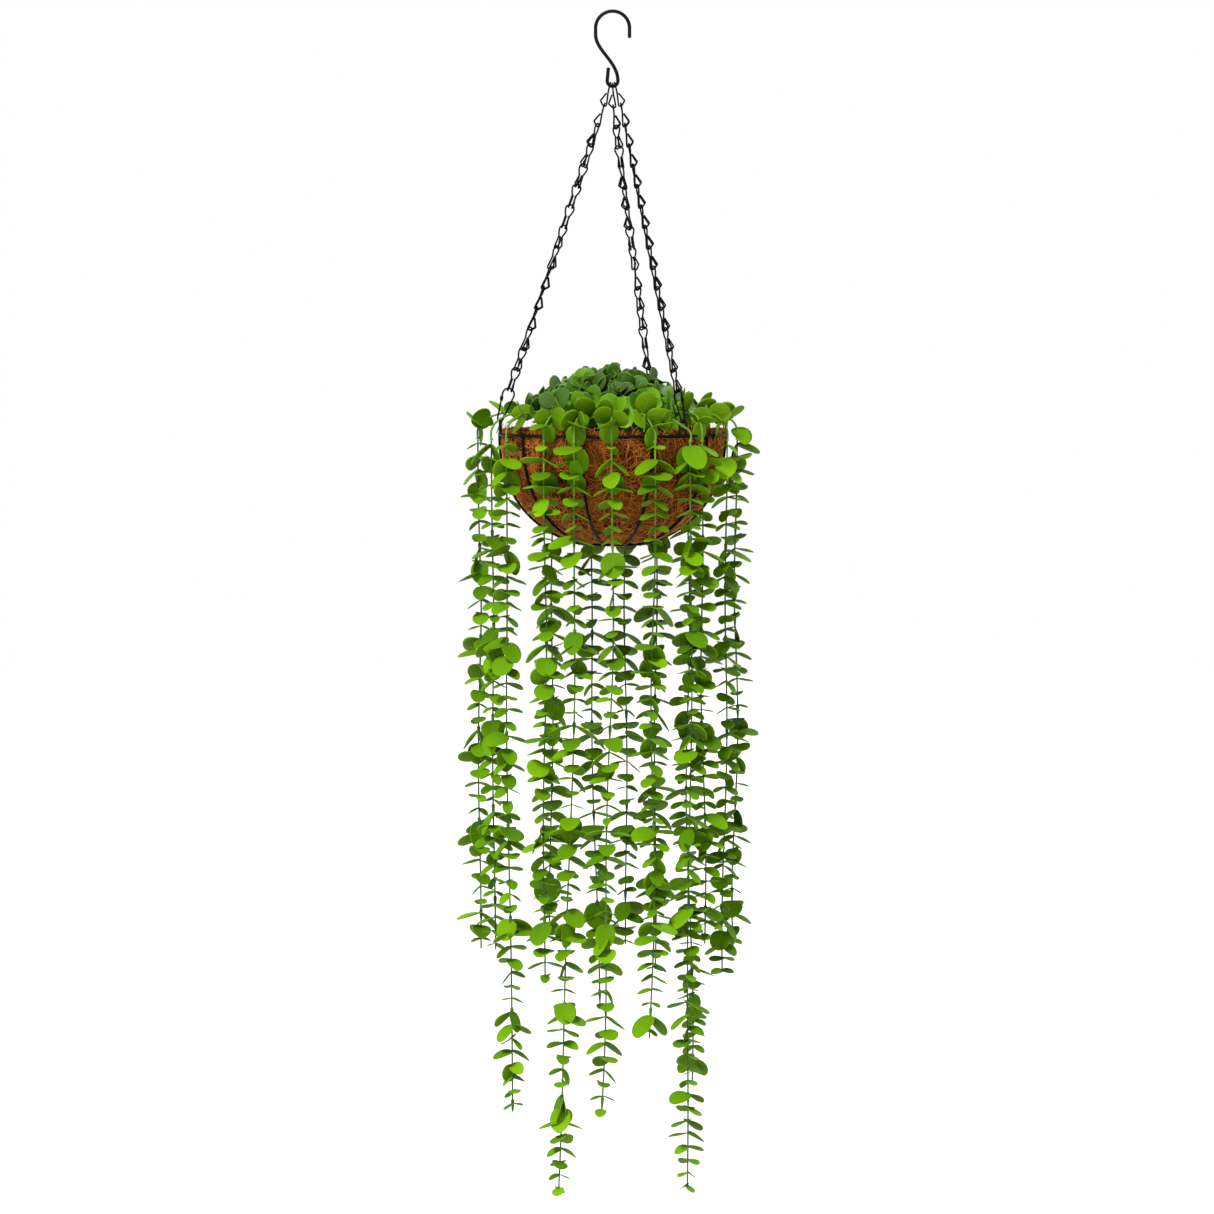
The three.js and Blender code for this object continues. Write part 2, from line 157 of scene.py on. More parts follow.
class Sheet:
    """The nodes of a material, a world or a geometry tree."""

    def __init__(self, tree):
        self.tree = tree
        self.tree.nodes.clear()

    def node(self, kind, settings=None, sockets=None, output=0):
        """Adds a node, with its settings first and then its sockets' values or links."""
        made = self.tree.nodes.new(kind)
        for name, value in (settings or {}).items():
            if name == "stops":
                ramp = made.color_ramp
                while len(ramp.elements) < len(value):
                    ramp.elements.new(1.0)
                for element, (position, colour) in zip(ramp.elements, value):
                    element.position = position
                    element.color = (*colour, 1.0)
            else:
                setattr(made, name, value)
        enabled = [socket for socket in made.inputs if socket.enabled]
        for key, value in (sockets or {}).items():
            if isinstance(key, int):
                target = enabled[key]
            else:
                target = next(socket for socket in enabled if socket.name == key)
            if isinstance(value, Flow):
                self.tree.links.new(value.socket, target)
            else:
                target.default_value = value
        shown = [socket for socket in made.outputs if socket.enabled]
        if not shown:
            return None
        if isinstance(output, int):
            return Flow(self, shown[output])
        return Flow(self, next(socket for socket in shown if socket.name == output))

    def mix(self, factor, first, second):
        return self.node(
            "ShaderNodeMix", {"data_type": "RGBA"}, {"Factor": factor, "A": first, "B": second}
        )

    def spots(self, scale, detail=3.0, sockets=None, settings=None):
        """Noise in the piece's own space, from 0 to 1, with scale spots to the metre."""
        where = self.node("ShaderNodeTexCoord", output="Object")
        return self.node(
            "ShaderNodeTexNoise",
            settings,
            {"Vector": where, "Scale": scale, "Detail": detail, **(sockets or {})},
        )

    def ramp(self, factor, stops):
        return self.node("ShaderNodeValToRGB", {"stops": stops}, {"Fac": factor})

    def between(self, value, low, high, to_low=0.0, to_high=1.0):
        """Value's step from low to high, smoothly turned into a step between two others."""
        return self.node(
            "ShaderNodeMapRange",
            {"interpolation_type": "SMOOTHSTEP"},
            {
                "Value": value,
                "From Min": low,
                "From Max": high,
                "To Min": to_low,
                "To Max": to_high,
            },
        )

    def attribute(self, name, output="Fac"):
        return self.node("ShaderNodeAttribute", {"attribute_name": name}, output=output)

    def stored(self, name, data_type):
        """A named attribute of the geometry that a tree is given."""
        return self.node(
            "GeometryNodeInputNamedAttribute", {"data_type": data_type}, {"Name": name}
        )


def finish_of(name, build, gloss=0.5):
    """A material whose build gives its colour, roughness, bump height and bump depth."""
    material = bpy.data.materials.new(name)
    material.use_nodes = True
    sheet = Sheet(material.node_tree)
    colour, roughness, height, depth = build(sheet)
    bump = sheet.node(
        "ShaderNodeBump", None, {"Strength": 1.0, "Distance": depth, "Height": height}
    )
    shader = sheet.node(
        "ShaderNodeBsdfPrincipled",
        None,
        {
            "Base Color": colour,
            "Roughness": roughness,
            "Specular IOR Level": gloss,
            "Normal": bump,
        },
    )
    sheet.node("ShaderNodeOutputMaterial", None, {"Surface": shader})
    return material


room_sheet = Sheet(room.node_tree)
seen, shed = (
    room_sheet.node("ShaderNodeBackground", None, {"Color": (1, 1, 1, 1), "Strength": strength})
    for strength in (1.0, 0.54)
)
is_seen = room_sheet.node("ShaderNodeLightPath", output="Is Camera Ray")
both = room_sheet.node("ShaderNodeMixShader", None, {0: is_seen, 1: shed, 2: seen})
room_sheet.node("ShaderNodeOutputWorld", None, {"Surface": both})


def shaped(name, points, edges=(), faces=()):
    """A new object with a plain mesh, in the scene."""
    mesh = bpy.data.meshes.new(name)
    mesh.from_pydata(points, edges, faces)
    made = bpy.data.objects.new(name, mesh)
    scene.collection.objects.link(made)
    return made


def pale_floor(sheet):
    """Matt white board, very slightly uneven in tone."""
    grain = sheet.spots(1.5)
    colour = sheet.mix(grain, (0.97, 0.97, 0.965, 1), (0.99, 0.99, 0.99, 1))
    return colour, 0.6 + 0.1 * grain, sheet.spots(60), 0.0005


floor_z = cad_box[0].z - floor_drop
floor_corners = [
    (x * floor_half, y * floor_half, floor_z) for x, y in ((-1, -1), (1, -1), (1, 1), (-1, 1))
]
floor = shaped("floor", floor_corners, faces=[(0, 1, 2, 3)])
floor.data.materials.append(finish_of("pale_floor", pale_floor))

# ---- Hook ---------------------------------------------------------------------------------
# One length of round steel wire, bent into an S and painted black. The open crown goes over a
# bar, and the closed lower bend carries the three chains.
hook_wire = 0.004
crown_r = 0.019
crown_tip = 0.011
crown_leg = 0.007
bend_r = 0.006
bend_leg = 0.015
bend_leg_lean = 0.0014
bend_centre = Vector(joints["swing_side"]["pos_m"])

X = Vector((1, 0, 0))
Y = Vector((0, 1, 0))
Z = Vector((0, 0, 1))


def arc(centre, across, up, radius, start, stop, steps):
    """Points round an arc in the plane of two directions, between two angles in degrees."""
    angles = [math.radians(start + (stop - start) * i / steps) for i in range(steps + 1)]
    return [centre + radius * (math.cos(a) * across + math.sin(a) * up) for a in angles]


def through(points, steps):
    """A smooth curve through all the points, with so many steps from each to the next."""
    path = []
    last = len(points) - 1
    for i in range(last):
        before = points[max(i - 1, 0)]
        start, end = points[i], points[i + 1]
        after = points[min(i + 2, last)]
        leave = (end - before) / 2
        arrive = (after - start) / 2
        for k in range(steps):
            t = k / steps
            path.append(
                start * (2 * t**3 - 3 * t**2 + 1)
                + leave * (t**3 - 2 * t**2 + t)
                + end * (3 * t**2 - 2 * t**3)
                + arrive * (t**3 - t**2)
            )
    return [*path, points[-1]]


def rounded_ends(path, diameter):
    """The path with two more points near each end, and the wire's girth at every point."""
    first = (path[1] - path[0]).normalized() * diameter
    last = (path[-2] - path[-1]).normalized() * diameter
    start = [path[0], path[0] + 0.07 * first, path[0] + 0.22 * first]
    stop = [path[-1] + 0.22 * last, path[-1] + 0.07 * last, path[-1]]
    taper = [0.55, 0.87, 1.0]
    middle = path[1:-1]
    return [*start, *middle, *stop], [*taper, *[1.0] * len(middle), *reversed(taper)]


def store(piece, name, data_type, values):
    """Keeps a value for each point of a piece's mesh, under a name."""
    field = "vector" if data_type == "FLOAT_VECTOR" else "value"
    piece.data.attributes.new(name, data_type, "POINT").data.foreach_set(field, values)


def centre_lines(paths, girths, tone=0.5, closed=False):
    """An object of edges, one line for each path, with the wire's girth at each point."""
    points = [point for path in paths for point in path]
    edges = []
    start = 0
    for path in paths:
        count = len(path)
        edges += [(start + i, start + i + 1) for i in range(count - 1)]
        if closed:
            edges.append((start + count - 1, start))
        start += count
    lines = shaped("lines", points, edges)
    store(lines, "girth", "FLOAT", [value for row in girths for value in row])
    store(lines, "tone", "FLOAT", [tone] * len(points) if isinstance(tone, float) else tone)
    return lines


def geometry_tree(name, inputs):
    """An empty Geometry Nodes tree with named inputs, and a function that reads one of them."""
    tree = bpy.data.node_groups.new(name, "GeometryNodeTree")
    sheet = Sheet(tree)
    tree.interface.new_socket("Geometry", in_out="INPUT", socket_type="NodeSocketGeometry")
    for label, kind in inputs.items():
        tree.interface.new_socket(label, in_out="INPUT", socket_type="NodeSocket" + kind)
    tree.interface.new_socket("Geometry", in_out="OUTPUT", socket_type="NodeSocketGeometry")
    return sheet, lambda label: sheet.node("NodeGroupInput", output=label)


def close_tree(sheet, geometry, given):
    """Ends a tree: the instances become real, smooth and take their finish."""
    real = sheet.node("GeometryNodeRealizeInstances", None, {"Geometry": geometry})
    smooth = sheet.node("GeometryNodeSetShadeSmooth", None, {"Geometry": real})
    done = sheet.node(
        "GeometryNodeSetMaterial", None, {"Geometry": smooth, "Material": given("Finish")}
    )
    sheet.node("NodeGroupOutput", None, {"Geometry": done})
    return sheet.tree


def bent_wire_tree():
    """Round wire along lines, as thick at each point as its girth says."""
    sheet, given = geometry_tree(
        "bent_wire", {"Diameter": "Float", "Sides": "Int", "Finish": "Material"}
    )
    line = sheet.node("GeometryNodeMeshToCurve", None, {"Mesh": given("Geometry")})
    section = sheet.node(
        "GeometryNodeCurvePrimitiveCircle",
        None,
        {"Resolution": given("Sides"), "Radius": given("Diameter") * 0.5},
    )
    wire = sheet.node(
        "GeometryNodeCurveToMesh",
        None,
        {
            "Curve": line,
            "Profile Curve": section,
            "Scale": sheet.stored("girth", "FLOAT"),
            "Fill Caps": True,
        },
    )
    return close_tree(sheet, wire, given)


def made_by(tree, source, name, **inputs):
    """The plain mesh that a tree makes of a source object, which it takes the place of."""
    modifier = source.modifiers.new("make", "NODES")
    modifier.node_group = tree
    for item in tree.interface.items_tree:
        if item.item_type == "SOCKET" and item.in_out == "INPUT" and item.name in inputs:
            modifier[item.identifier] = inputs[item.name]
    depsgraph = bpy.context.evaluated_depsgraph_get()
    mesh = bpy.data.meshes.new_from_object(source.evaluated_get(depsgraph))
    mesh.name = name
    for spent in ("girth", "turn", "size", "kind"):
        if spent in mesh.attributes:
            mesh.attributes.remove(mesh.attributes[spent])
    source.modifiers.remove(modifier)
    bpy.data.objects.remove(source)
    piece = bpy.data.objects.new(name, mesh)
    scene.collection.objects.link(piece)
    return piece


bent_wire = bent_wire_tree()


def wire_piece(name, paths, diameter, sides, finish, closed=False):
    """Round wire along each path, with its free ends slightly rounded."""
    if closed:
        rows = [(path, [1.0] * len(path)) for path in paths]
    else:
        rows = [rounded_ends(path, diameter) for path in paths]
    lines = centre_lines([row[0] for row in rows], [row[1] for row in rows], closed=closed)
    return made_by(bent_wire, lines, name, Diameter=diameter, Sides=sides, Finish=finish)


def black_paint(base, patch_scale):
    """Sprayed black paint: nearly even, with a faint orange peel and dusty, duller patches."""

    def build(sheet):
        patches = sheet.spots(patch_scale, 4.0)
        dust = sheet.between(patches, 0.45, 0.8)
        clean = (base, base, base * 1.1, 1)
        dusty = (base * 2.4, base * 2.3, base * 2.2, 1)
        colour = sheet.mix(dust, clean, dusty)
        peel = sheet.spots(1400, 2.0)
        return colour, 0.34 + 0.22 * patches, peel, 0.00006

    return build


hook_paint = finish_of("hook_paint", black_paint(0.0018, 160), gloss=0.14)
crown_centre = Vector((0, 0, -crown_r + hook_wire / 2))
shank_top = crown_centre + Vector((-crown_r, 0, -crown_leg))
bend_start = bend_centre + Vector((bend_r, 0, 0))
shank_length = shank_top.z - bend_start.z
shank_guides = [
    shank_top,
    shank_top - Vector((0, 0, 0.35 * shank_length)),
    bend_start + Vector((0, 0, 0.42 * shank_length)),
    bend_start,
]


def eased(guides, steps):
    """A cubic curve that leaves and arrives along its outer guides."""
    a, b, c, d = guides
    path = []
    for i in range(steps + 1):
        t = i / steps
        s = 1 - t
        path.append(s**3 * a + 3 * s * s * t * b + 3 * s * t * t * c + t**3 * d)
    return path


hook_path = [
    crown_centre + Vector((crown_r, 0, -crown_tip)),
    crown_centre + Vector((crown_r, 0, -crown_tip / 2)),
    *arc(crown_centre, X, Z, crown_r, 0, 180, 36),
    *eased(shank_guides, 28),
    *arc(bend_centre, X, Z, bend_r, 0, -180, 20)[1:],
    bend_centre + Vector((-bend_r + bend_leg_lean, 0, bend_leg)),
]
hook = wire_piece("hook_body", [hook_path], hook_wire, 20, hook_paint)
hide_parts("hook")
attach(hook, "hook")

# ---- Chains -------------------------------------------------------------------------------
# Each link is one bent steel wire: a round top, two legs, and a fold at the bottom whose free
# ends come back up between the legs. A link's fold hooks over the next link's round top.
link_wire = 0.0018
link_bulb_r = 0.0047
link_pitch = 0.0241
link_neck = 0.0122
link_leg = 0.0021
link_fold_reach = 0.0052
link_fold_rise = 0.0046
link_count = 15
wire_clearance = 0.00035
paint_coat = 0.0001
bend_inner_r = bend_r - hook_wire / 2

clip_wire = 0.002
clip_top_r = 0.0066
clip_end_r = 0.0032
clip_span = 0.038

rim_r = 0.127
rim_wire = 0.0034
loop_wire = 0.0026
loop_height = 0.019
rim_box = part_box("rim_ring")
rim_z = (rim_box[0].z + rim_box[1].z) / 2

# Azimuth of the rim loop, place on the hook's bend, sideways shift of the first link's foot,
# side that its fold stands out to, and turn of the whole chain about its own line.
chains = {
    "left": (-82, -1, -0.00794, -1, 262),
    "back": (158, 0, 0.00121, -1, 562),
    "right": (38, 1, 0.00794, 1, -38),
}
# Links turn only inside these runs, which the solid model joins.
link_runs = [(2, 6), (7, 11), (12, 15)]


def polar(azimuth, radius, height):
    """A point at an azimuth from the front, in degrees, that grows towards +X."""
    angle = math.radians(azimuth)
    return Vector((radius * math.sin(angle), -radius * math.cos(angle), height))


def seat_depth(round_r, round_wire):
    """How far below a round's top the two wires of a fold lie when they hang in it."""
    reach = round_r - round_wire / 2 - link_wire / 2 - wire_clearance
    return round_r - math.sqrt(reach**2 - link_leg**2)


link_seat = seat_depth(link_bulb_r, link_wire)
clip_seat = seat_depth(clip_top_r, clip_wire)
clip_run = clip_span - loop_wire / 2 - clip_wire / 2 - wire_clearance


def link_path():
    """A link's wire, with the middle of its round top at the origin and its fold towards +Y."""
    fold = link_pitch + link_seat
    centre = Vector((0, 0, -link_bulb_r))
    round_top = arc(centre, X, Z, link_bulb_r, 90, 0, 8)
    side = [
        Vector((link_bulb_r - 0.0004, -0.0001, -link_bulb_r - 0.0026)),
        Vector((link_leg + 0.0012, -0.0003, -link_neck + 0.0018)),
        Vector((link_leg + 0.0001, -0.0006, -link_neck - 0.0012)),
        Vector((link_leg, -0.0024, -fold + 0.0024)),
        Vector((link_leg, -0.0018, -fold + 0.0006)),
        Vector((link_leg, 0.0, -fold)),
        Vector((link_leg, 0.0016, -fold + 0.0009)),
        Vector((link_leg, link_fold_reach - 0.0008, -fold + link_fold_rise - 0.0009)),
        Vector((link_leg, link_fold_reach, -fold + link_fold_rise + 0.0004)),
        Vector((link_leg - 0.0002, link_fold_reach - 0.0008, -fold + link_fold_rise + 0.0022)),
        Vector((link_leg - 0.0008, 0.0011, -link_neck - 0.0004)),
    ]
    half = [*round_top, *side]
    other = [Vector((-p.x, p.y, p.z)) for p in reversed(half[1:])]
    return through([*other, *half], 2)


def facing(across, up):
    """The turn of a thing whose own X lies across and whose own Z points up."""
    out = up.cross(across)
    return Matrix((across, out, up)).transposed().to_quaternion()


def set_on(sheet, given, points, kind, turn, size):
    """One of the given shapes on each point, picked by its kind."""
    shapes = sheet.node(
        "GeometryNodeCollectionInfo",
        None,
        {"Collection": given("Shapes"), "Separate Children": True, "Reset Children": True},
    )
    return sheet.node(
        "GeometryNodeInstanceOnPoints",
        None,
        {
            "Points": points,
            "Instance": shapes,
            "Pick Instance": True,
            "Instance Index": kind,
            "Rotation": turn,
            "Scale": size,
        },
    )


def set_out_tree():
    """Shapes at points, each with its own kind, turn and size."""
    sheet, given = geometry_tree("set_out", {"Shapes": "Collection", "Finish": "Material"})
    kind = sheet.stored("kind", "INT")
    turn = sheet.stored("turn", "QUATERNION")
    size = sheet.stored("size", "FLOAT_VECTOR")
    placed = set_on(sheet, given, given("Geometry"), kind, turn, size)
    return close_tree(sheet, placed, given)


set_out = set_out_tree()


def shape_set(name, shapes):
    """Shapes that are only there to be repeated. They are picked in the order of their names."""
    kept = bpy.data.collections.new(name)
    for i, shape in enumerate(shapes):
        shape.name = f"{name}_{i}"
        for home in shape.users_collection:
            home.objects.unlink(shape)
        kept.objects.link(shape)
    return kept


def repeated(name, places, shapes, finish):
    """One of the shapes at each place, which is its point, turn, size, tone and kind."""
    source = shaped("places", [place[0] for place in places])
    store(source, "turn", "QUATERNION", [value for place in places for value in place[1]])
    store(source, "size", "FLOAT_VECTOR", [value for place in places for value in place[2]])
    store(source, "tone", "FLOAT", [place[3] for place in places])
    store(source, "kind", "INT", [place[4] for place in places])
    return made_by(set_out, source, name, Shapes=shapes, Finish=finish)


def chain_top(seat, shift):
    """Where a first link hangs on the hook, its up direction, and its second link's round."""
    reach = bend_inner_r - link_wire / 2 - wire_clearance
    side = seat * (link_wire + wire_clearance)
    first = bend_centre + Vector((side, 0, -math.sqrt(reach**2 - side**2)))
    drop = link_pitch + link_bulb_r
    up = Vector((-shift / drop, 0, math.sqrt(1 - (shift / drop) ** 2)))
    return first, up, first - drop * up


def turns_below(number):
    """How many of the turns from link to link come after a link."""
    return sum(max(0, last - max(first, number)) for first, last in link_runs)


chain_paint = finish_of("chain_paint", black_paint(0.0014, 220), gloss=0.07)
chain_link = shape_set(
    "chain_link", [wire_piece("link", [link_path()], link_wire + 2 * paint_coat, 9, chain_paint)]
)
whole_size = Vector((1, 1, 1))
first_links = []
chain_ends = {}
for name, (azimuth, seat, shift, side, twist) in chains.items():
    first, first_up, round_centre = chain_top(seat, shift)
    first_links.append((first, facing(-side * Y, first_up), whole_size, 0.5, 0))
    loop_top = polar(azimuth, rim_r, rim_z + loop_height - loop_wire / 2)
    up = (round_centre - loop_top).normalized()
    radial = polar(azimuth, 1, 0)
    flat = (radial - radial.dot(up) * up).normalized()
    clip_top = loop_top + clip_run * up
    second = round_centre + link_bulb_r * up
    pitch = ((second - clip_top).length + clip_seat - link_seat) / (link_count - 1)
    places = []
    for number in range(2, link_count + 1):
        angle = math.radians(twist * turns_below(number) / turns_below(1))
        across = Quaternion(up, angle) @ flat
        top = second - (number - 2) * pitch * up
        places.append((top, facing(across, up), whole_size, 0.5, 0))
    chain = repeated(f"chain_{name}", places, chain_link, chain_paint)
    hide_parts(*[f"chain_{name}_links_{a}_to_{b}" for a, b in link_runs])
    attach(chain, "basket")
    chain_ends[name] = (clip_top, up, flat)

top_links = repeated("first_links_body", first_links, chain_link, chain_paint)
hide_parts(*[f"chain_{name}_link_1" for name in chains])
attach(top_links, "first_links")

# ---- Clips --------------------------------------------------------------------------------
# A pear of springy wire joins each chain to its rim loop. Its two ends lie side by side under
# a small wound clasp on the outer leg.
clasp_wire = 0.0011
clasp_length = 0.0048
clasp_turns = 4
clasp_start = 0.12


def wound(start, stop, radius, turns, steps):
    """A helix about the line from start to stop."""
    axis = (stop - start).normalized()
    side = axis.orthogonal().normalized()
    other = axis.cross(side)
    path = []
    for i in range(steps * turns + 1):
        angle = 2 * math.pi * i / steps
        along = start.lerp(stop, i / (steps * turns))
        path.append(along + radius * (math.cos(angle) * side + math.sin(angle) * other))
    return path


for name, (clip_top, up, across) in chain_ends.items():
    wide = clip_top - clip_top_r * up
    narrow = clip_top - (clip_span - clip_end_r) * up
    pear = [
        *arc(wide, across, up, clip_top_r, -8, 188, 22),
        *arc(narrow, across, up, clip_end_r, 188, 352, 14),
    ]
    leg_top, leg_foot = pear[0], pear[-1]
    leg = (leg_foot - leg_top).normalized()
    clip = wire_piece(f"clip_{name}_body", [pear], clip_wire, 12, chain_paint, closed=True)
    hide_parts(f"clip_{name}")
    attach(clip, "basket")
    clasp_top = leg_top.lerp(leg_foot, clasp_start)
    clasp_path = wound(
        clasp_top, clasp_top + clasp_length * leg, (clip_wire + clasp_wire) / 2, clasp_turns, 14
    )
    clasp = wire_piece(f"clasp_{name}", [clasp_path], clasp_wire, 7, chain_paint)
    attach(clasp, "basket")

# ---- Wire bowl ----------------------------------------------------------------------------
# A rim of heavy round wire, ten ribs that curve down to a base ring, and three upright loops,
# all butt welded with small beads and dipped in black paint.
bowl_depth = 0.127
bowl_power = 2.2
rib_wire = 0.003
rib_count = 10
first_rib = 20
base_ring_r = 0.036
base_ring_wire = 0.003
loop_half_width = 0.0047
bead_sink = 0.0002
rim_bead = Vector((0.0024, 0.0020, 0.0013))
base_bead = Vector((0.0021, 0.0014, 0.0019))
loop_bead = Vector((0.0024, 0.0019, 0.0011))
seam = 0.0003


def bowl_side(radius, depth, angle):
    """The bowl's superellipse at an angle down from the rim: its radius and its depth there."""
    power = 2 / bowl_power
    return radius * math.cos(angle) ** power, depth * math.sin(angle) ** power


def bowl_angle(share):
    """The angle at which the bowl's radius has shrunk to a share of the rim's."""
    return math.acos(share ** (bowl_power / 2))


frame_paint = finish_of("frame_paint", black_paint(0.0018, 90), gloss=0.12)


def skin_over(name, rings, ends=()):
    """A smooth skin over rings of points from bottom to top, and over an end point at each."""
    columns = len(rings[0])
    faces = []
    for row in range(len(rings) - 1):
        low, high = row * columns, (row + 1) * columns
        for c in range(columns):
            right = (c + 1) % columns
            faces.append((low + c, low + right, high + right, high + c))
    if ends:
        middle = len(rings) * columns
        last = middle - columns
        for c in range(columns):
            right = (c + 1) % columns
            faces.append((middle, right, c))
            faces.append((middle + 1, last + c, last + right))
    skin = shaped(name, [*(point for ring in rings for point in ring), *ends], faces=faces)
    skin.data.shade_smooth()
    return skin


def bead_shape(name):
    """A low welded bead, squashed and a little lopsided."""
    rows, columns = 6, 10
    rings = []
    for row in reversed(range(1, rows)):
        theta = math.pi * row / rows
        height = Vector((0, 0, math.cos(theta)))
        ring = [
            height + polar(90 + 360 * c / columns, math.sin(theta), 0) for c in range(columns)
        ]
        rings.append([ball * (1 + 0.12 * noise.noise(2.3 * ball)) for ball in ring])
    return skin_over(name, rings, [Vector((0, 0, -1)), Vector((0, 0, 1))])


rim_path = [polar(3 * i, rim_r, rim_z) for i in range(120)]
rim = wire_piece("rim_body", [rim_path], rim_wire, 16, frame_paint, closed=True)
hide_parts("rim_ring")
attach(rim, "basket")

rib_start = math.asin((seam / bowl_depth) ** (bowl_power / 2))
rib_stop = bowl_angle(base_ring_r / rim_r)
base_ring_z = rim_z - bowl_side(rim_r, bowl_depth, rib_stop)[1]
rib_path = []
for i in range(29):
    radius, depth = bowl_side(rim_r, bowl_depth, rib_start + (rib_stop - rib_start) * i / 28)
    rib_path.append(polar(0, radius, -depth))
rib_shape = shape_set("rib_shape", [wire_piece("rib", [rib_path], rib_wire, 12, frame_paint)])
rib_azimuths = [first_rib + 360 * i / rib_count for i in range(rib_count)]
rib_places = [
    (Vector((0, 0, rim_z)), Quaternion(Z, math.radians(azimuth)), whole_size, 0.5, 0)
    for azimuth in rib_azimuths
]
ribs = repeated("ribs", rib_places, rib_shape, frame_paint)
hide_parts(*[f"rib_{i + 1}" for i in range(rib_count)])
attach(ribs, "basket")

base_path = [polar(6 * i, base_ring_r, base_ring_z) for i in range(60)]
base_ring = wire_piece("base_body", [base_path], base_ring_wire, 14, frame_paint, closed=True)
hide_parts("base_ring")
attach(base_ring, "basket")

loop_feet = []
for name, (azimuth, *_) in chains.items():
    centre = polar(azimuth, rim_r, rim_z + loop_height - loop_wire / 2 - loop_half_width)
    tangent = polar(azimuth + 90, 1, 0)
    feet = [
        Vector((*(centre + sign * loop_half_width * tangent).xy, rim_z + rim_wire / 2))
        for sign in (1, -1)
    ]
    loop_path = [
        feet[0],
        feet[0].lerp(centre + loop_half_width * tangent, 0.5),
        *arc(centre, tangent, Z, loop_half_width, 0, 180, 14),
        feet[1].lerp(centre - loop_half_width * tangent, 0.5),
        feet[1],
    ]
    loop = wire_piece(f"rim_loop_{name}_body", [loop_path], loop_wire, 12, frame_paint)
    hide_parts(f"rim_loop_{name}")
    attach(loop, "basket")
    loop_feet += [(foot, azimuth) for foot in feet]

bead = shape_set("bead", [bead_shape("bead")])
beads = []
for azimuth in rib_azimuths:
    turn = Quaternion(Z, math.radians(azimuth))
    under_rim = polar(azimuth, rim_r - bead_sink, rim_z - rim_wire / 2 - bead_sink)
    at_base = polar(azimuth, base_ring_r + base_ring_wire / 2, base_ring_z + bead_sink)
    beads.append((under_rim, turn, rim_bead, 0.5, 0))
    beads.append((at_base, turn, base_bead, 0.5, 0))
for foot, azimuth in loop_feet:
    turn = Quaternion(Z, math.radians(azimuth))
    beads.append((foot - bead_sink * Z, turn, loop_bead, 0.5, 0))
welds = repeated("weld_beads", beads, bead, frame_paint)
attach(welds, "basket")

# ---- Coir liner ---------------------------------------------------------------------------
# A felt bowl pressed from coconut fibre and latex, about 7 mm thick, which bulges a little
# between the ribs. Its top edge is torn and uneven, and loose fibres stand out all over it.
liner_thickness = 0.007
liner_stand_up = 0.005
liner_gap = 0.001
liner_bulge = 0.0014
liner_sink = 0.0005
liner_lumps = 0.0011
edge_tear = 0.0022
edge_round = 0.0012
liner_r = rim_r - rim_wire / 2 - liner_gap
liner_depth = bowl_depth - rib_wire / 2 - liner_gap
liner_columns = 180
liner_side_rows = 44
fibre_wire = 0.00052
fibre_density = 46000
fibre_lengths = (0.010, 0.026)
fibre_sizes = (0.75, 1.3)
fibre_shape_count = 12
fibre_picks = 63
fibre_seed = 4


def liner_point(azimuth, angle, inset):
    """A point on the felt's outside, or inset from it, uneven as felt is."""
    radius, depth = bowl_side(liner_r - inset, liner_depth - inset, angle)
    nearest_rib = abs(((azimuth - first_rib) * rib_count / 360 + 0.5) % 1 - 0.5) * 2
    bulge = liner_bulge * math.sin(math.pi * nearest_rib / 2) ** 2 * math.cos(angle) ** 0.5
    point = polar(azimuth, radius, -depth)
    lumps = liner_lumps * noise.fractal(70 * point, 0.6, 2.2, 4)
    way = Vector((point.x, point.y, point.z * 0.8)).normalized()
    return point + (bulge - liner_sink + lumps) * way + Vector((0, 0, rim_z))


def edge_height(azimuth, inset):
    """The torn top edge stands up unevenly above the rim."""
    across = polar(azimuth, 1, inset * 90)
    return liner_stand_up + edge_tear * noise.fractal(7 * across, 0.8, 2.1, 4)


def liner_rows(inset):
    """Rings of points from the rim down to the lowest ring, on one face of the felt."""
    rows = []
    for row in range(liner_side_rows):
        angle = (math.pi / 2) * (0.985 * row / (liner_side_rows - 1)) ** 0.9
        rows.append(
            [liner_point(360 * c / liner_columns, angle, inset) for c in range(liner_columns)]
        )
    return rows


def liner_mesh(name, outside_only):
    """The felt as a closed bowl, or just its outside and top edge for the fibres to grow on."""
    outer = liner_rows(0.0)
    inner = liner_rows(liner_thickness)
    edge = []
    for share in (0.0, 0.33, 0.67, 1.0):
        inset = share * liner_thickness
        lift = edge_round * math.sin(math.pi * share)
        ring = []
        for c in range(liner_columns):
            azimuth = 360 * c / liner_columns
            flat = outer[0][c].lerp(inner[0][c], share)
            top = rim_z + edge_height(azimuth, inset) + lift
            ring.append(Vector((flat.x, flat.y, top)))
        edge.append(ring)
    rings = [*reversed(outer), edge[0]]
    if outside_only:
        return skin_over(name, rings)
    rings += [*edge[1:], *inner]
    middles = [sum(ring, Vector()) / liner_columns for ring in (rings[0], rings[-1])]
    return skin_over(name, rings, middles)


# The darkest coir colour is painted shade for the gaps between the strands.
coir_gap_shade = (0.06, 0.013, 0.001)
coir_mid = (0.38, 0.104, 0.010)
coir_light = (0.82, 0.34, 0.06)


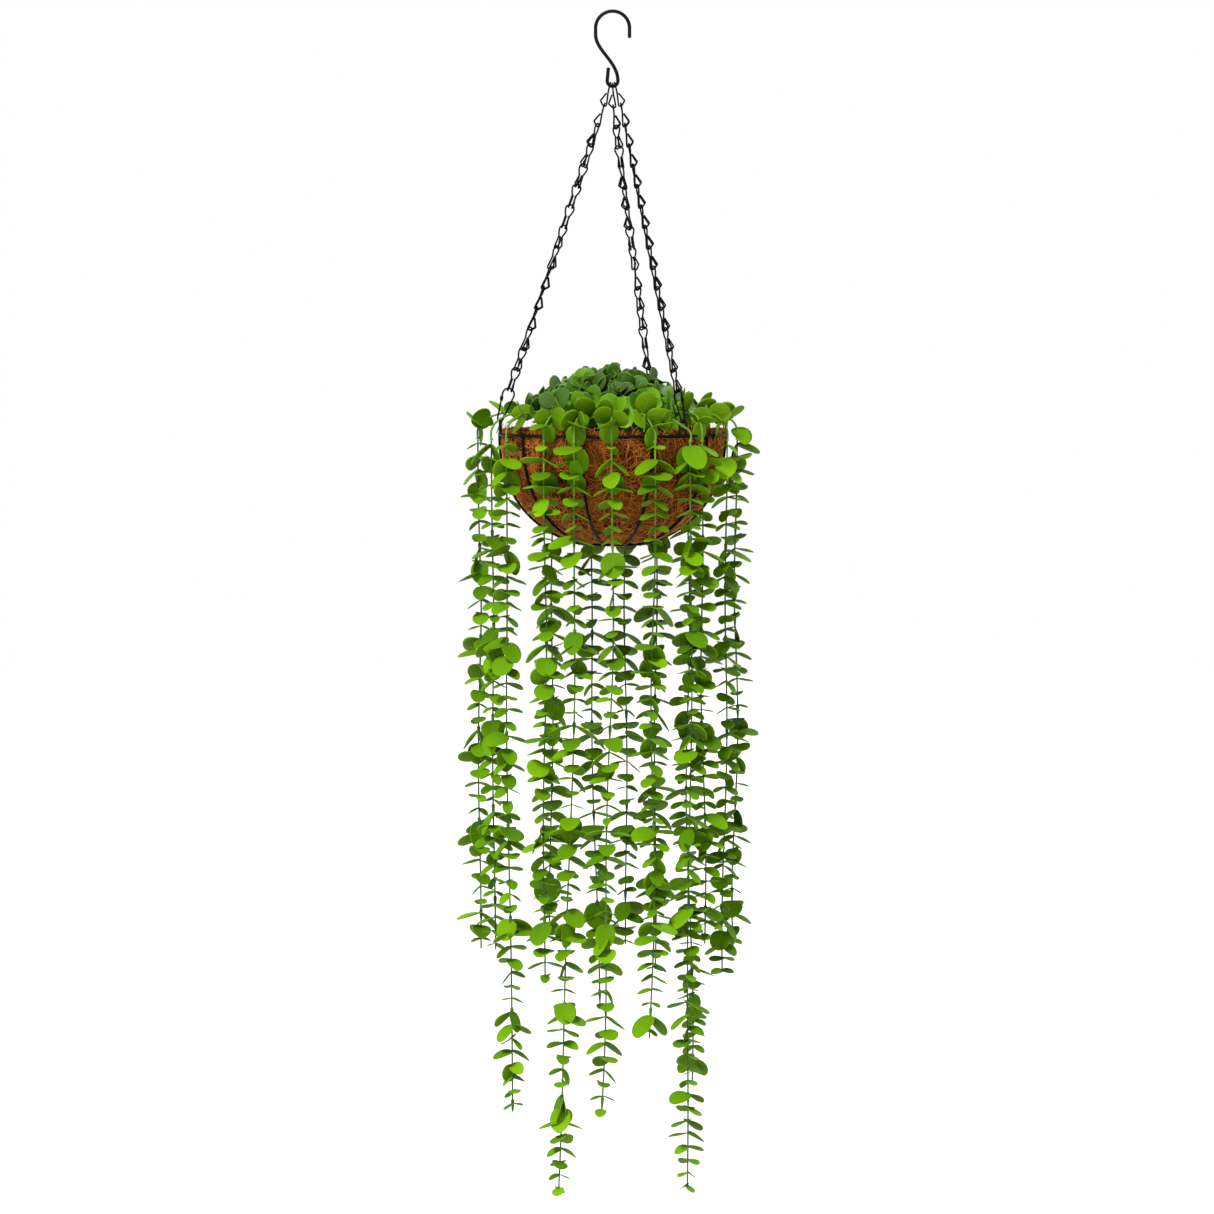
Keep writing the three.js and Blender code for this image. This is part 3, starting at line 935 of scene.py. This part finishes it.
def felt(sheet):
    """Matted coconut fibre: ridged strands in two sizes, with painted shade darkening the gaps
    between them.
    """
    ridges = {"noise_type": "RIDGED_MULTIFRACTAL"}
    coarse = sheet.spots(120, 3.0, {"Distortion": 1.6}, ridges)
    fine = sheet.spots(330, 3.0, {"Distortion": 2.2}, ridges)
    strands = sheet.between(0.55 * coarse + 0.6 * fine, 0.25, 1.35)
    patches = sheet.spots(28, 2.0)
    # The colour rises with the strands' bump height, so the gaps between strands are painted dark
    # as painted shade.
    shade = strands * 0.8 + patches * 0.45 - 0.12
    colour = sheet.ramp(shade, [(0.05, coir_gap_shade), (0.42, coir_mid), (0.95, coir_light)])
    return colour, 0.95 - 0.1 * strands, strands, 0.0011


def loose_fibre(sheet):
    """One coconut fibre, from brown to straw."""
    tone = sheet.attribute("tone")
    along = sheet.spots(160, 2.0)
    shade = tone * 0.85 + along * 0.3 - 0.08
    colour = sheet.ramp(
        shade,
        [(0.05, (0.15, 0.032, 0.003)), (0.5, (0.66, 0.225, 0.032)), (1.0, (1.0, 0.63, 0.26))],
    )
    return colour, 0.75 + 0.15 * along, sheet.spots(1500, 1.0), 0.0001


coir_felt = finish_of("coir_felt", felt, gloss=0.1)
coir_strand = finish_of("coir_strand", loose_fibre, gloss=0.12)
liner = liner_mesh("liner_body", outside_only=False)
liner.data.materials.append(coir_felt)
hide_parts("coir_liner")
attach(liner, "basket")


def fibre_path(rng):
    """A curly strand 10 to 26 mm long that hugs a round surface under it."""
    heading = 0.0
    bend = rng.uniform(-130, 130)
    x = y = 0.0
    length = rng.uniform(*fibre_lengths)
    steps = 5
    path = []
    for _ in range(steps + 1):
        path.append(Vector((x, y, 0)))
        heading += math.radians(bend / steps + rng.uniform(-12, 12))
        x += math.cos(heading) * length / steps
        y += math.sin(heading) * length / steps
    middle = sum(path, Vector()) / len(path)
    lift = rng.uniform(0.0002, 0.0012)
    for point in path:
        point -= middle
        point.z = lift - (point.x**2 + point.y**2) / 0.21 + rng.uniform(-0.0003, 0.0003)
    return path


def coir_tree():
    """Curly fibres scattered flat on the felt, each turned and sized at random."""
    sheet, given = geometry_tree(
        "loose_fibres",
        {"Density": "Float", "Seed": "Int", "Shapes": "Collection", "Finish": "Material"},
    )

    def chance(low, high, data_type="FLOAT"):
        return sheet.node(
            "FunctionNodeRandomValue",
            {"data_type": data_type},
            {"Min": low, "Max": high, "Seed": given("Seed")},
        )

    points = sheet.node(
        "GeometryNodeDistributePointsOnFaces",
        None,
        {"Mesh": given("Geometry"), "Density": given("Density"), "Seed": given("Seed")},
        "Points",
    )
    lie = Flow(sheet, points.socket.node.outputs["Rotation"])
    spin = chance(0.0, 2 * math.pi)
    about = sheet.node("FunctionNodeAxisAngleToRotation", None, {"Axis": (0, 0, 1), "Angle": spin})
    turn = sheet.node(
        "FunctionNodeRotateRotation",
        {"rotation_space": "LOCAL"},
        {"Rotation": lie, "Rotate By": about},
    )
    pick = chance(0, fibre_picks, "INT")
    placed = set_on(sheet, given, points, pick, turn, chance(*fibre_sizes))
    toned = sheet.node(
        "GeometryNodeStoreNamedAttribute",
        {"data_type": "FLOAT", "domain": "INSTANCE"},
        {"Geometry": placed, "Name": "tone", "Value": chance(0.0, 1.0)},
    )
    return close_tree(sheet, toned, given)


rng = random.Random(fibre_seed)
fibre_shapes = shape_set(
    "fibre_shape",
    [
        made_by(
            bent_wire,
            centre_lines([fibre_path(rng)], [[0.5, 0.9, 1.0, 1.0, 0.9, 0.5]]),
            "fibre",
            Diameter=fibre_wire,
            Sides=3,
            Finish=coir_strand,
        )
        for _ in range(fibre_shape_count)
    ],
)
fibres = made_by(
    coir_tree(),
    liner_mesh("fibre_ground", outside_only=True),
    "loose_fibres",
    Density=float(fibre_density),
    Seed=fibre_seed,
    Shapes=fibre_shapes,
    Finish=coir_strand,
)
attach(fibres, "basket")

# ---- Foam fill ----------------------------------------------------------------------------
# A block of green floral foam fills the liner. Its top is crumbly, and the stems are pushed
# into it.
foam_below_rim = 0.010
foam_gap = 0.001
foam_crumbs = 0.0016
foam_columns = 96
foam_side_rows = 16
foam_top_rows = 24
foam_r = liner_r - liner_thickness - foam_gap
foam_depth = liner_depth - liner_thickness - foam_gap


def foam_mesh(name):
    """The bowl's shape up to the fill line, then rings inwards over the crumbly top."""
    fill_angle = math.asin((foam_below_rim / foam_depth) ** (bowl_power / 2))
    top_z = rim_z - foam_below_rim
    rings = []
    for row in range(1, foam_side_rows + 1):
        angle = math.pi / 2 + (fill_angle - math.pi / 2) * row / foam_side_rows
        radius, depth = bowl_side(foam_r, foam_depth, angle)
        rings.append(
            [polar(360 * c / foam_columns, radius, rim_z - depth) for c in range(foam_columns)]
        )
    edge_r = radius
    for row in range(1, foam_top_rows):
        radius = edge_r * (1 - row / foam_top_rows)
        ring = [polar(360 * c / foam_columns, radius, top_z) for c in range(foam_columns)]
        for point in ring:
            crumbs = noise.fractal(160 * point, 0.7, 2.3, 4)
            point.z += foam_crumbs * (crumbs - 0.5)
        rings.append(ring)
    middles = [Vector((0, 0, rim_z - foam_depth)), Vector((0, 0, top_z))]
    return skin_over(name, rings, middles)


def floral_foam(sheet):
    """Dark green foam, full of small pores, with painted shade darkening the pores and the low
    crumbs.
    """
    pores = sheet.node(
        "ShaderNodeTexVoronoi",
        None,
        {"Vector": sheet.node("ShaderNodeTexCoord", output="Object"), "Scale": 900.0},
        "Distance",
    )
    crumbs = sheet.spots(140, 5.0)
    # The colour follows the bump height, so the pores and hollows are painted darker: painted
    # shade.
    shade = crumbs * 0.7 + pores * 0.5
    colour = sheet.ramp(
        shade,
        [(0.2, (0.012, 0.03, 0.006)), (0.5, (0.03, 0.075, 0.014)), (0.9, (0.08, 0.14, 0.03))],
    )
    return colour, 0.85 + 0.1 * crumbs, pores + crumbs, 0.0008


foam = foam_mesh("foam_body")
foam.data.materials.append(finish_of("floral_foam", floral_foam))
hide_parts("foam_fill")
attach(foam, "basket")

# ---- Leaves -------------------------------------------------------------------------------
# Every leaf is moulded in soft plastic with a thin rolled edge: nearly round on the crown, and
# broad with a slight point on the vines. Each kind has three moulds, cupped and curled a little
# differently.
leaf_thickness = 0.0006
usual_leaf = 0.022
leaf_columns = (-1.0, -0.84, 0.0, 0.84, 1.0)
leaf_rows = 8
clip_room = 0.002
front_room = 0.003


def leaf_outline(width, base_fill, tip_fill, widest):
    """Stations along a leaf 1 long from stem to tip: place along, and half the width there."""
    stations = [(0.0, 0.05)]
    for i in range(1, leaf_rows):
        angle = math.pi * i / leaf_rows
        along = ((1 - math.cos(angle)) / 2) ** (math.log(widest) / math.log(0.5))
        fill = base_fill if i < leaf_rows / 2 else tip_fill
        stations.append((along, width / 2 * math.sin(angle) ** fill))
    return stations


def leaf_shape(name, width_share, base_fill, tip_fill, widest, cup, curl, fold, skew):
    """A closed thin leaf 1 long along +X whose face looks to +Z."""
    stations = leaf_outline(width_share, base_fill, tip_fill, widest)
    thick = leaf_thickness / usual_leaf

    def height(along, across):
        sag = -curl * along**2.2
        bowl = cup * (across * width_share / 2) ** 2 / 0.2
        return sag + bowl - fold * (1 - abs(across)) * math.sin(math.pi * along)

    points, blade, rims = [], [], []
    top, under = [], []
    for along, half in stations:
        top_row, under_row = [], []
        for column in leaf_columns:
            y = half * column + skew * along**2
            z = height(along, column * half * 2 / width_share)
            edge = abs(column) == 1.0
            top_row.append(len(points))
            points.append(Vector((along, y, z)))
            blade.append((along, column, 0.5 if edge else 1.0))
            rims.append(1.0 if edge else 0.0)
            if edge:
                under_row.append(top_row[-1])
            else:
                under_row.append(len(points))
                points.append(Vector((along, y, z - thick * min(1.0, half / 0.12))))
                blade.append((along, column, 0.0))
                rims.append(0.0)
        top.append(top_row)
        under.append(under_row)
    tip = len(points)
    points.append(Vector((1.0, skew, height(1.0, 0.0) - thick / 2)))
    blade.append((1.0, 0.0, 0.5))
    rims.append(1.0)
    faces = []
    for row in range(len(stations) - 1):
        for c in range(len(leaf_columns) - 1):
            faces.append((top[row][c], top[row + 1][c], top[row + 1][c + 1], top[row][c + 1]))
            faces.append(
                (under[row][c], under[row][c + 1], under[row + 1][c + 1], under[row + 1][c])
            )
    for c in range(len(leaf_columns) - 1):
        faces.append((top[-1][c], tip, top[-1][c + 1]))
        faces.append((under[-1][c], under[-1][c + 1], tip))
    faces.append(tuple([*top[0], *reversed(under[0][1:-1])]))
    leaf = shaped(name, points, faces=faces)
    store(leaf, "blade", "FLOAT_VECTOR", [value for row in blade for value in row])
    store(leaf, "leaf_rim", "FLOAT", rims)
    return leaf


# Each mould's width, fullness at the base and the tip, widest place, cup, curl, fold and skew.
vine_moulds = [
    (0.90, 0.76, 1.1, 0.45, 0.04, 0.08, 0.05, 0.02),
    (0.80, 0.82, 1.2, 0.47, 0.06, 0.14, 0.07, -0.04),
    (0.99, 0.74, 1.0, 0.47, 0.03, 0.04, 0.03, 0.0),
]
crown_moulds = [
    (1.02, 0.84, 0.88, 0.51, 0.14, 0.06, 0.02, 0.02),
    (0.96, 0.80, 0.92, 0.53, 0.20, 0.10, 0.03, -0.03),
    (0.92, 0.86, 0.96, 0.50, 0.08, 0.03, 0.02, 0.03),
]
vine_leaves = shape_set("vine_leaf_shape", [leaf_shape("leaf", *mould) for mould in vine_moulds])
crown_leaves = shape_set(
    "crown_leaf_shape", [leaf_shape("leaf", *mould) for mould in crown_moulds]
)


def leaf_plastic(stops, under, rim_colour, frost, dullness):
    """Moulded leaf: tone sets its green, its back is darker and more olive, partly its own duller
    colour and partly painted shade, and its rim and midrib paler.
    """

    def build(sheet):
        tone = sheet.attribute("tone")
        rim_share = sheet.attribute("leaf_rim")
        blade = sheet.attribute("blade", "Vector")
        along, across, side = (
            sheet.node("ShaderNodeSeparateXYZ", None, {"Vector": blade}, axis) for axis in "XYZ"
        )
        cloud = sheet.spots(55, 3.0)
        mottle = sheet.spots(420, 3.0)
        shade = tone * 0.8 + cloud * 0.25 + mottle * 0.1 + along * 0.22 - 0.19
        above = sheet.ramp(shade, stops)
        # The back of the leaf is mixed towards the darker under colour: partly the back's own
        # colour, partly painted shade on the side turned from the light.
        green = sheet.mix(0.62 - 0.62 * sheet.between(side, 0.1, 0.6), above, (*under, 1))
        midrib = 1 - sheet.between(abs(across), 0.0, 0.07)
        veined = sheet.mix(0.22 * midrib, green, (*rim_colour, 1))
        rimmed = sheet.mix(0.7 * sheet.between(rim_share, 0.35, 1.0), veined, (*rim_colour, 1))
        dusted = sheet.mix(
            frost * sheet.between(cloud * 0.7 + mottle * 0.5 - tone * 0.7, 0.2, 0.6),
            rimmed,
            (0.13, 0.20, 0.075, 1),
        )
        height = 0.5 * mottle - 0.6 * midrib + 0.3 * rim_share
        return dusted, dullness + 0.24 * mottle, height, 0.0003

    return build


vine_green = [
    (0.05, (0.034, 0.088, 0.001)),
    (0.35, (0.072, 0.180, 0.001)),
    (0.65, (0.118, 0.280, 0.001)),
    (0.95, (0.185, 0.390, 0.003)),
]
# The vine leaf's under colour is darker than its face, partly as painted shade.
vine_leaf = finish_of(
    "vine_leaf",
    leaf_plastic(vine_green, (0.070, 0.132, 0.001), (0.19, 0.38, 0.01), 0.0, 0.5),
    gloss=0.06,
)
crown_green = [
    (0.05, (0.022, 0.064, 0.003)),
    (0.35, (0.048, 0.140, 0.002)),
    (0.65, (0.088, 0.250, 0.001)),
    (0.95, (0.155, 0.375, 0.002)),
]
# The crown leaf's under colour is darker than its face, partly as painted shade.
crown_leaf = finish_of(
    "crown_leaf",
    leaf_plastic(crown_green, (0.032, 0.084, 0.003), (0.18, 0.38, 0.02), 0.2, 0.34),
    gloss=0.3,
)


def leaf_place(root, aim, up, tilt, roll, length, tone, kind):
    """A leaf that springs from root along aim, its tip raised by tilt towards up."""
    along = aim * math.cos(tilt) + up * math.sin(tilt)
    face = up * math.cos(tilt) - aim * math.sin(tilt)
    turn = facing(along, face) @ Quaternion(X, roll)
    return root, turn, Vector((length, length, length)), tone, kind


def clear_of_clips(place):
    """Whether a leaf leaves the clips and rim loops free, and open to the front."""
    root, turn, size = place[:3]
    reach = size.x / 2
    middle = root + turn @ (reach * X)
    for clip_top, up, _ in chain_ends.values():
        seen_over = clip_top.y < 0 and middle.y < clip_top.y
        share = min(1.0, max(0.0, (middle.z - rim_z) / (clip_top.z - rim_z)))
        gap = middle - (clip_top - (1 - share) * (clip_top.z - rim_z) / up.z * up)
        if gap.length < reach + clip_room:
            return False
        if seen_over and gap.xz.length < reach + front_room:
            return False
    return True


# ---- Stem hub and arms --------------------------------------------------------------------
# One moulded stalk stands in the foam. It branches into an arm for each vine, which arches over
# the rim and ends in a flared socket that the vine hangs from. Large leaves sit along the arms.
hub_r = 0.007
hub_depth = 0.060
hub_above_rim = 0.012
arm_wire = 0.0024
arm_crest = 0.026
arm_drop = 0.006
socket_points = 4
socket_flare = 0.28
socket_bare = 0.012
arm_leaf_lengths = (0.021, 0.028)
pair_pitch = 0.0147

# Where an arm crosses the rim, if a chain stands in the way of its vine's own azimuth.
crossings = {
    "left_side": -97,
    "left_front": -68,
    "front_right_inner": 17,
    "front_right": 29,
    "right_corner": 49,
    "back_right_corner": 140,
    "back_right": 167,
    "back_middle": 177,
}


def azimuth_of(point):
    """A point's azimuth from the front, in degrees."""
    return math.degrees(math.atan2(point.x, -point.y))


def arm_path(name, pivot):
    """An arm's middle line, up out of the hub, over the rim and down to its vine's pivot."""
    azimuth = azimuth_of(pivot)
    over = crossings.get(name, azimuth)
    reach = pivot.xy.length
    side = 0.35 * (azimuth - over)
    guides = [
        polar(over, 0.4 * hub_r, rim_z + 0.004),
        polar(over, 0.33 * rim_r, rim_z + 0.72 * arm_crest),
        polar(over, 0.66 * rim_r, rim_z + arm_crest),
        polar(over, 0.93 * rim_r, rim_z + 0.94 * arm_crest),
        polar(over + side, reach - 0.006, rim_z + 0.6 * arm_crest),
        polar(azimuth, reach, rim_z + 0.005),
        polar(azimuth, reach, rim_z - arm_drop),
    ]
    return through(guides, 8)


def stem_plastic(sheet):
    """Moulded stem, from blue green in the shade to light green."""
    tone = sheet.attribute("tone")
    cloud = sheet.spots(40, 3.0)
    mottle = sheet.spots(700, 2.0)
    green = sheet.ramp(
        tone + cloud * 0.3 - 0.15,
        [(0.0, (0.012, 0.045, 0.06)), (0.4, (0.036, 0.120, 0.004)), (0.8, (0.17, 0.38, 0.02))],
    )
    pale = sheet.mix(0.12 * mottle, green, (0.3, 0.5, 0.1, 1))
    return pale, 0.45 + 0.2 * mottle, mottle, 0.0002


stem_finish = finish_of("moulded_stem", stem_plastic, gloss=0.15)
vine_names = [name[len("sway_") :] for name in joints if name.startswith("sway_")]
pivots = {name: Vector(joints[f"sway_{name}"]["pos_m"]) for name in vine_names}


def fronted(azimuth):
    """1 at the front, 0 at the back."""
    return 0.5 + 0.5 * math.cos(math.radians(azimuth))


rng = random.Random(21)
arm_paths, arm_girths, arm_leaf_places = [], [], []
for name, pivot in pivots.items():
    path = arm_path(name, pivot)
    arm_paths.append(path)
    flare = [1.0 + socket_flare * i for i in range(socket_points)]
    arm_girths.append([1.0] * (len(path) - socket_points) + flare)
    travelled = 0.0
    wanted = 0.0
    total = sum((b - a).length for a, b in zip(path, path[1:]))
    pair = rng.randrange(2)
    bare = 0.55 + 0.12 * fronted(azimuth_of(pivot))
    for a, b in zip(path, path[1:]):
        travelled += (b - a).length
        if travelled < max(bare * total, wanted) or travelled > total - socket_bare:
            continue
        wanted = travelled + pair_pitch
        growth = (b - a).normalized()
        level = growth.cross(Z).normalized()
        for sign in (1, -1):
            spin = Quaternion(growth, math.radians(90 * pair + rng.uniform(-25, 25)))
            side = spin @ (sign * level)
            if side.z > 0.5:
                side = (side + 0.7 * level * rng.choice((-1, 1))).normalized()
            droop = math.radians(rng.uniform(5, 55))
            # The arm leaves on top of the bowl take lighter tones than the vine leaves below:
            # painted light.
            arm_leaf_places.append(
                leaf_place(
                    b,
                    side,
                    -growth,
                    -droop,
                    math.radians(rng.uniform(-25, 25)),
                    rng.uniform(*arm_leaf_lengths),
                    rng.uniform(0.4, 1.0),
                    rng.randrange(3),
                )
            )
        pair += 1

hub_heights = [-foam_below_rim - hub_depth, *[0.01 * i - hub_depth for i in range(7)]]
hub_path = [Vector((0, 0, rim_z + height)) for height in (*hub_heights, hub_above_rim)]
hub_girths = [2 * hub_r / arm_wire * share for share in (0.7, 0.9, *[1.0] * 6, 0.94)]
lines = centre_lines([hub_path, *arm_paths], [hub_girths, *arm_girths], tone=0.6)
hub = made_by(bent_wire, lines, "hub_body", Diameter=arm_wire, Sides=10, Finish=stem_finish)
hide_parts("stem_hub")
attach(hub, "basket")
arm_leaf_places = [place for place in arm_leaf_places if clear_of_clips(place)]
arm_leaves = repeated("arm_leaves", arm_leaf_places, vine_leaves, vine_leaf)
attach(arm_leaves, "basket")

# ---- Crown --------------------------------------------------------------------------------
# Eight moulded sprigs are pushed in upright, one in the hub and seven round it. Each branches
# low down, and every branch ends in a rosette of large round leaves that face outwards.
sprig_ring = 0.062
outer_sprigs = (8, 57, 114, 199, 236, 284, 316)
branch_wire = 0.0022
branch_count = 7
mound_height = 0.061
mound_r = 0.138
crown_reach = 0.108
closed_r = 0.065
rosette_lengths = (0.019, 0.0235, 0.026, 0.027)
rosette_lifts = (48, 28, 10, -8)
rosette_start = 0.0015
rosette_pitch = 0.0075
closed_lift = 36
fork_height = 0.010
middle_spread = 0.024
outer_spread = 0.030
upright = 0.55
lean_from_middle = 11
lean_from_stalk = 15
stray = 0.25


def mound(radius):
    """Height of the mound's rosettes above the rim at a distance from the middle."""
    return mound_height * (1 - (min(radius, mound_r) / mound_r) ** 1.7)


def rosette(tip, growth, closed, rng, tone):
    """Opposite pairs of leaves down a branch's tip, each a quarter turn on, opened or closed."""
    places = []
    start = rng.uniform(0, 180)
    level = growth.orthogonal().normalized()
    for pair, (usual_length, usual_lift) in enumerate(zip(rosette_lengths, rosette_lifts)):
        root = tip - growth * (rosette_start + rosette_pitch * pair)
        length = usual_length * rng.uniform(0.88, 1.1)
        lift = usual_lift + closed_lift * closed + rng.uniform(-10, 10)
        for half_turn in (0, 180):
            angle = start + 90 * pair + half_turn + rng.uniform(-14, 14)
            aim = Quaternion(growth, math.radians(angle)) @ level
            places.append(
                leaf_place(
                    root + 0.001 * aim,
                    aim,
                    growth,
                    math.radians(lift),
                    math.radians(rng.uniform(-14, 14)),
                    length,
                    min(1.0, max(0.0, tone + rng.uniform(-0.16, 0.16))),
                    rng.randrange(3),
                )
            )
    return places


rng = random.Random(8)
sprigs = [("sprig_middle", Vector((0, 0, 0)), middle_spread)]
for i, azimuth in enumerate(outer_sprigs):
    sprigs.append((f"sprig_{i + 1}", polar(azimuth, sprig_ring, 0), outer_spread))
for node, centre, spread in sprigs:
    foot = Vector((centre.x, centre.y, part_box(node)[0].z))
    fork = Vector((centre.x, centre.y, rim_z + fork_height))
    peg = [foot, foot.lerp(fork, 0.5), fork]
    paths = [peg]
    girths = [[1.0, 1.6, 1.5]]
    places = []
    start = rng.uniform(0, 360)
    for branch in range(branch_count):
        if branch == 0:
            offset = Vector((0, 0, 0))
        else:
            offset = polar(start + 360 * branch / (branch_count - 1), spread, 0)
            offset *= rng.uniform(0.8, 1.2)
        spot = centre + offset
        if spot.length > crown_reach:
            spot *= crown_reach / spot.length
        height = mound(spot.length) + rng.uniform(-0.007, 0.005)
        tip = Vector((spot.x, spot.y, rim_z + height))
        outward = lean_from_middle * Vector((spot.x, spot.y, 0)) + lean_from_stalk * offset
        outward += polar(rng.uniform(0, 360), stray, 0)
        growth = (upright * Z + outward).normalized()
        closed = max(0.0, 1 - spot.length / closed_r)
        bend_point = fork.lerp(tip, 0.55) + Vector((offset.x, offset.y, 0)) * 0.25
        paths.append(through([fork - Vector((0, 0, 0.004)), bend_point, tip], 5))
        girths.append([1.0] * 11)
        tone = 0.14 + 5.5 * spot.length + rng.choice((-0.36, -0.05, 0.38))
        places += rosette(tip, growth, closed, rng, tone)
    lines = centre_lines(paths, girths, tone=0.55)
    stalk = made_by(
        bent_wire, lines, f"{node}_stalk", Diameter=branch_wire, Sides=8, Finish=stem_finish
    )
    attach(stalk, "basket")
    places = [place for place in places if clear_of_clips(place)]
    leaves = repeated(f"{node}_leaves", places, crown_leaves, crown_leaf)
    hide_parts(node)
    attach(leaves, "basket")

# ---- Vines --------------------------------------------------------------------------------
# Each vine is a string of moulded lengths pushed together. A flared collar covers each joint,
# and opposite pairs of leaves, each a quarter turn from the last, shrink down each length.
segment_length = 0.103
stem_wire = 0.0018
collar_r = 0.0021
collar_length = 0.013
stem_in_socket = 0.0008
stem_step = 0.0021
first_pair = 0.004
large_leaf = 0.0292
small_leaf = 0.0136
bowl_clear = 0.003

# How far a vine's free end hangs to one side of its top.
drifts = {
    "left_corner": 0.007,
    "front_left_inner": -0.020,
    "front_middle": -0.014,
    "front_right": -0.006,
    "right_corner": 0.004,
    "back_left_inner": 0.010,
}


def inward_room(point):
    """How far a leaf may reach in from a point before it meets the bowl."""
    depth = rim_z - point.z
    if depth > bowl_depth:
        return 1.0
    share = max(0.0, depth / bowl_depth) ** bowl_power
    wall = rim_r * (1 - min(1.0, share)) ** (1 / bowl_power)
    return point.xy.length - wall - bowl_clear


def middle_line(top, in_out, length, drift, sway_size, sway_phase):
    """A vine's middle line, as a function that gives its point at a distance below the top."""

    def hang(down):
        share = down / length
        swing = sway_size * (math.sin(9.5 * share + sway_phase) - math.sin(sway_phase))
        side = drift * share**2 + swing * min(1.0, 3 * share)
        out = 0.5 * swing * share
        return top + Vector((side, 0, -down)) + out * in_out

    return hang


rng = random.Random(5)
for name, pivot in pivots.items():
    low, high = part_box(f"vine_{name}")
    azimuth = azimuth_of(pivot)
    top = Vector((pivot.x, pivot.y, high.z + stem_in_socket))
    length = high.z - low.z
    drift = drifts.get(name, rng.uniform(-0.004, 0.004))
    sway_size = rng.uniform(0.0012, 0.0026)
    sway_phase = rng.uniform(0, 2 * math.pi)
    in_out = polar(azimuth, 1, 0)
    hang = middle_line(top, in_out, length, drift, sway_size, sway_phase)
    phase = rng.uniform(0.84, 1.16) * segment_length
    # Leaves on front vines are painted lighter than leaves on back vines: painted light.
    painted_front_light = 0.40 + 0.12 * fronted(azimuth)

    steps = int(length / stem_step)
    path, girth, stem_painted_light = [], [], []
    for i in range(steps + 1):
        down = length * i / steps
        # Stems on front vines, most near the top, are painted lighter and back stems darker and
        # bluer: painted light and shade.
        stem_painted_light.append(0.05 + fronted(azimuth) * (0.4 + 0.4 * max(0.0, 1 - down / bowl_depth)))
        past_collar = (down - phase) % segment_length
        if past_collar < collar_length and down > phase - segment_length + collar_length:
            flare = (1 - past_collar / collar_length) ** 0.8
        else:
            flare = 0.0
        path.append(hang(down))
        girth.append(1.0 + flare * (2 * collar_r / stem_wire - 1))
    girth[-1] = 0.6
    lines = centre_lines([path], [girth], tone=stem_painted_light)
    stem = made_by(
        bent_wire, lines, f"vine_{name}_stem", Diameter=stem_wire, Sides=8, Finish=stem_finish
    )
    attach(stem, f"vine_{name}")

    places = []
    start = rng.uniform(-20, 20) + azimuth
    count = int((length - first_pair) / pair_pitch)
    for pair in range(count + 1):
        down = first_pair + pair * pair_pitch
        place_in_segment = ((down - phase) % segment_length) / segment_length
        leaf_length = large_leaf + (small_leaf - large_leaf) * place_in_segment**0.9
        root = hang(down)
        # Leaves near the bowl and towards the tip are painted lighter still: painted light.
        lit = max(0.22 * (1 - down / (1.3 * bowl_depth)), 0.12 * down / length)
        growth = (hang(down + 0.003) - hang(down - 0.003)).normalized()
        base = start + 90 * pair + rng.uniform(-24, 24)
        if pair == count:
            leaf_length = small_leaf
        for half_turn in (0, 180):
            aim = polar(base + half_turn + rng.uniform(-10, 10), 1, 0)
            aim = (aim - aim.dot(growth) * growth).normalized()
            size = leaf_length * rng.uniform(0.86, 1.16)
            # The heavy leaves under a collar hang down more often than the small ones.
            if rng.random() < 0.42 * (leaf_length / large_leaf) ** 3 - 0.05:
                droop = math.radians(rng.uniform(38, 74))
            else:
                droop = math.radians(rng.triangular(-2, 42, 14))
            # A leaf that would reach into the bowl is folded down against it.
            inward = -aim.dot(in_out)
            room_in = inward_room(root)
            if inward > 0.2 and size * inward * math.cos(droop) > room_in:
                droop = math.acos(max(0.05, min(1.0, room_in / (size * inward))))
            places.append(
                leaf_place(
                    root,
                    aim,
                    -growth,
                    -droop,
                    math.radians(rng.gauss(0, 13)),
                    size,
                    min(1.0, max(0.0, painted_front_light + lit + rng.gauss(0, 0.17))),
                    rng.randrange(3),
                )
            )
    places = [place for place in places if clear_of_clips(place)]
    leaves = repeated(f"vine_{name}_leaves", places, vine_leaves, vine_leaf)
    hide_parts(f"vine_{name}")
    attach(leaves, f"vine_{name}")

# ---- Clean up -----------------------------------------------------------------------------
# The shapes that were only there to be repeated go.
for kept in (chain_link, rib_shape, bead, fibre_shapes, vine_leaves, crown_leaves):
    for shape in list(kept.objects):
        bpy.data.objects.remove(shape)
    bpy.data.collections.remove(kept)
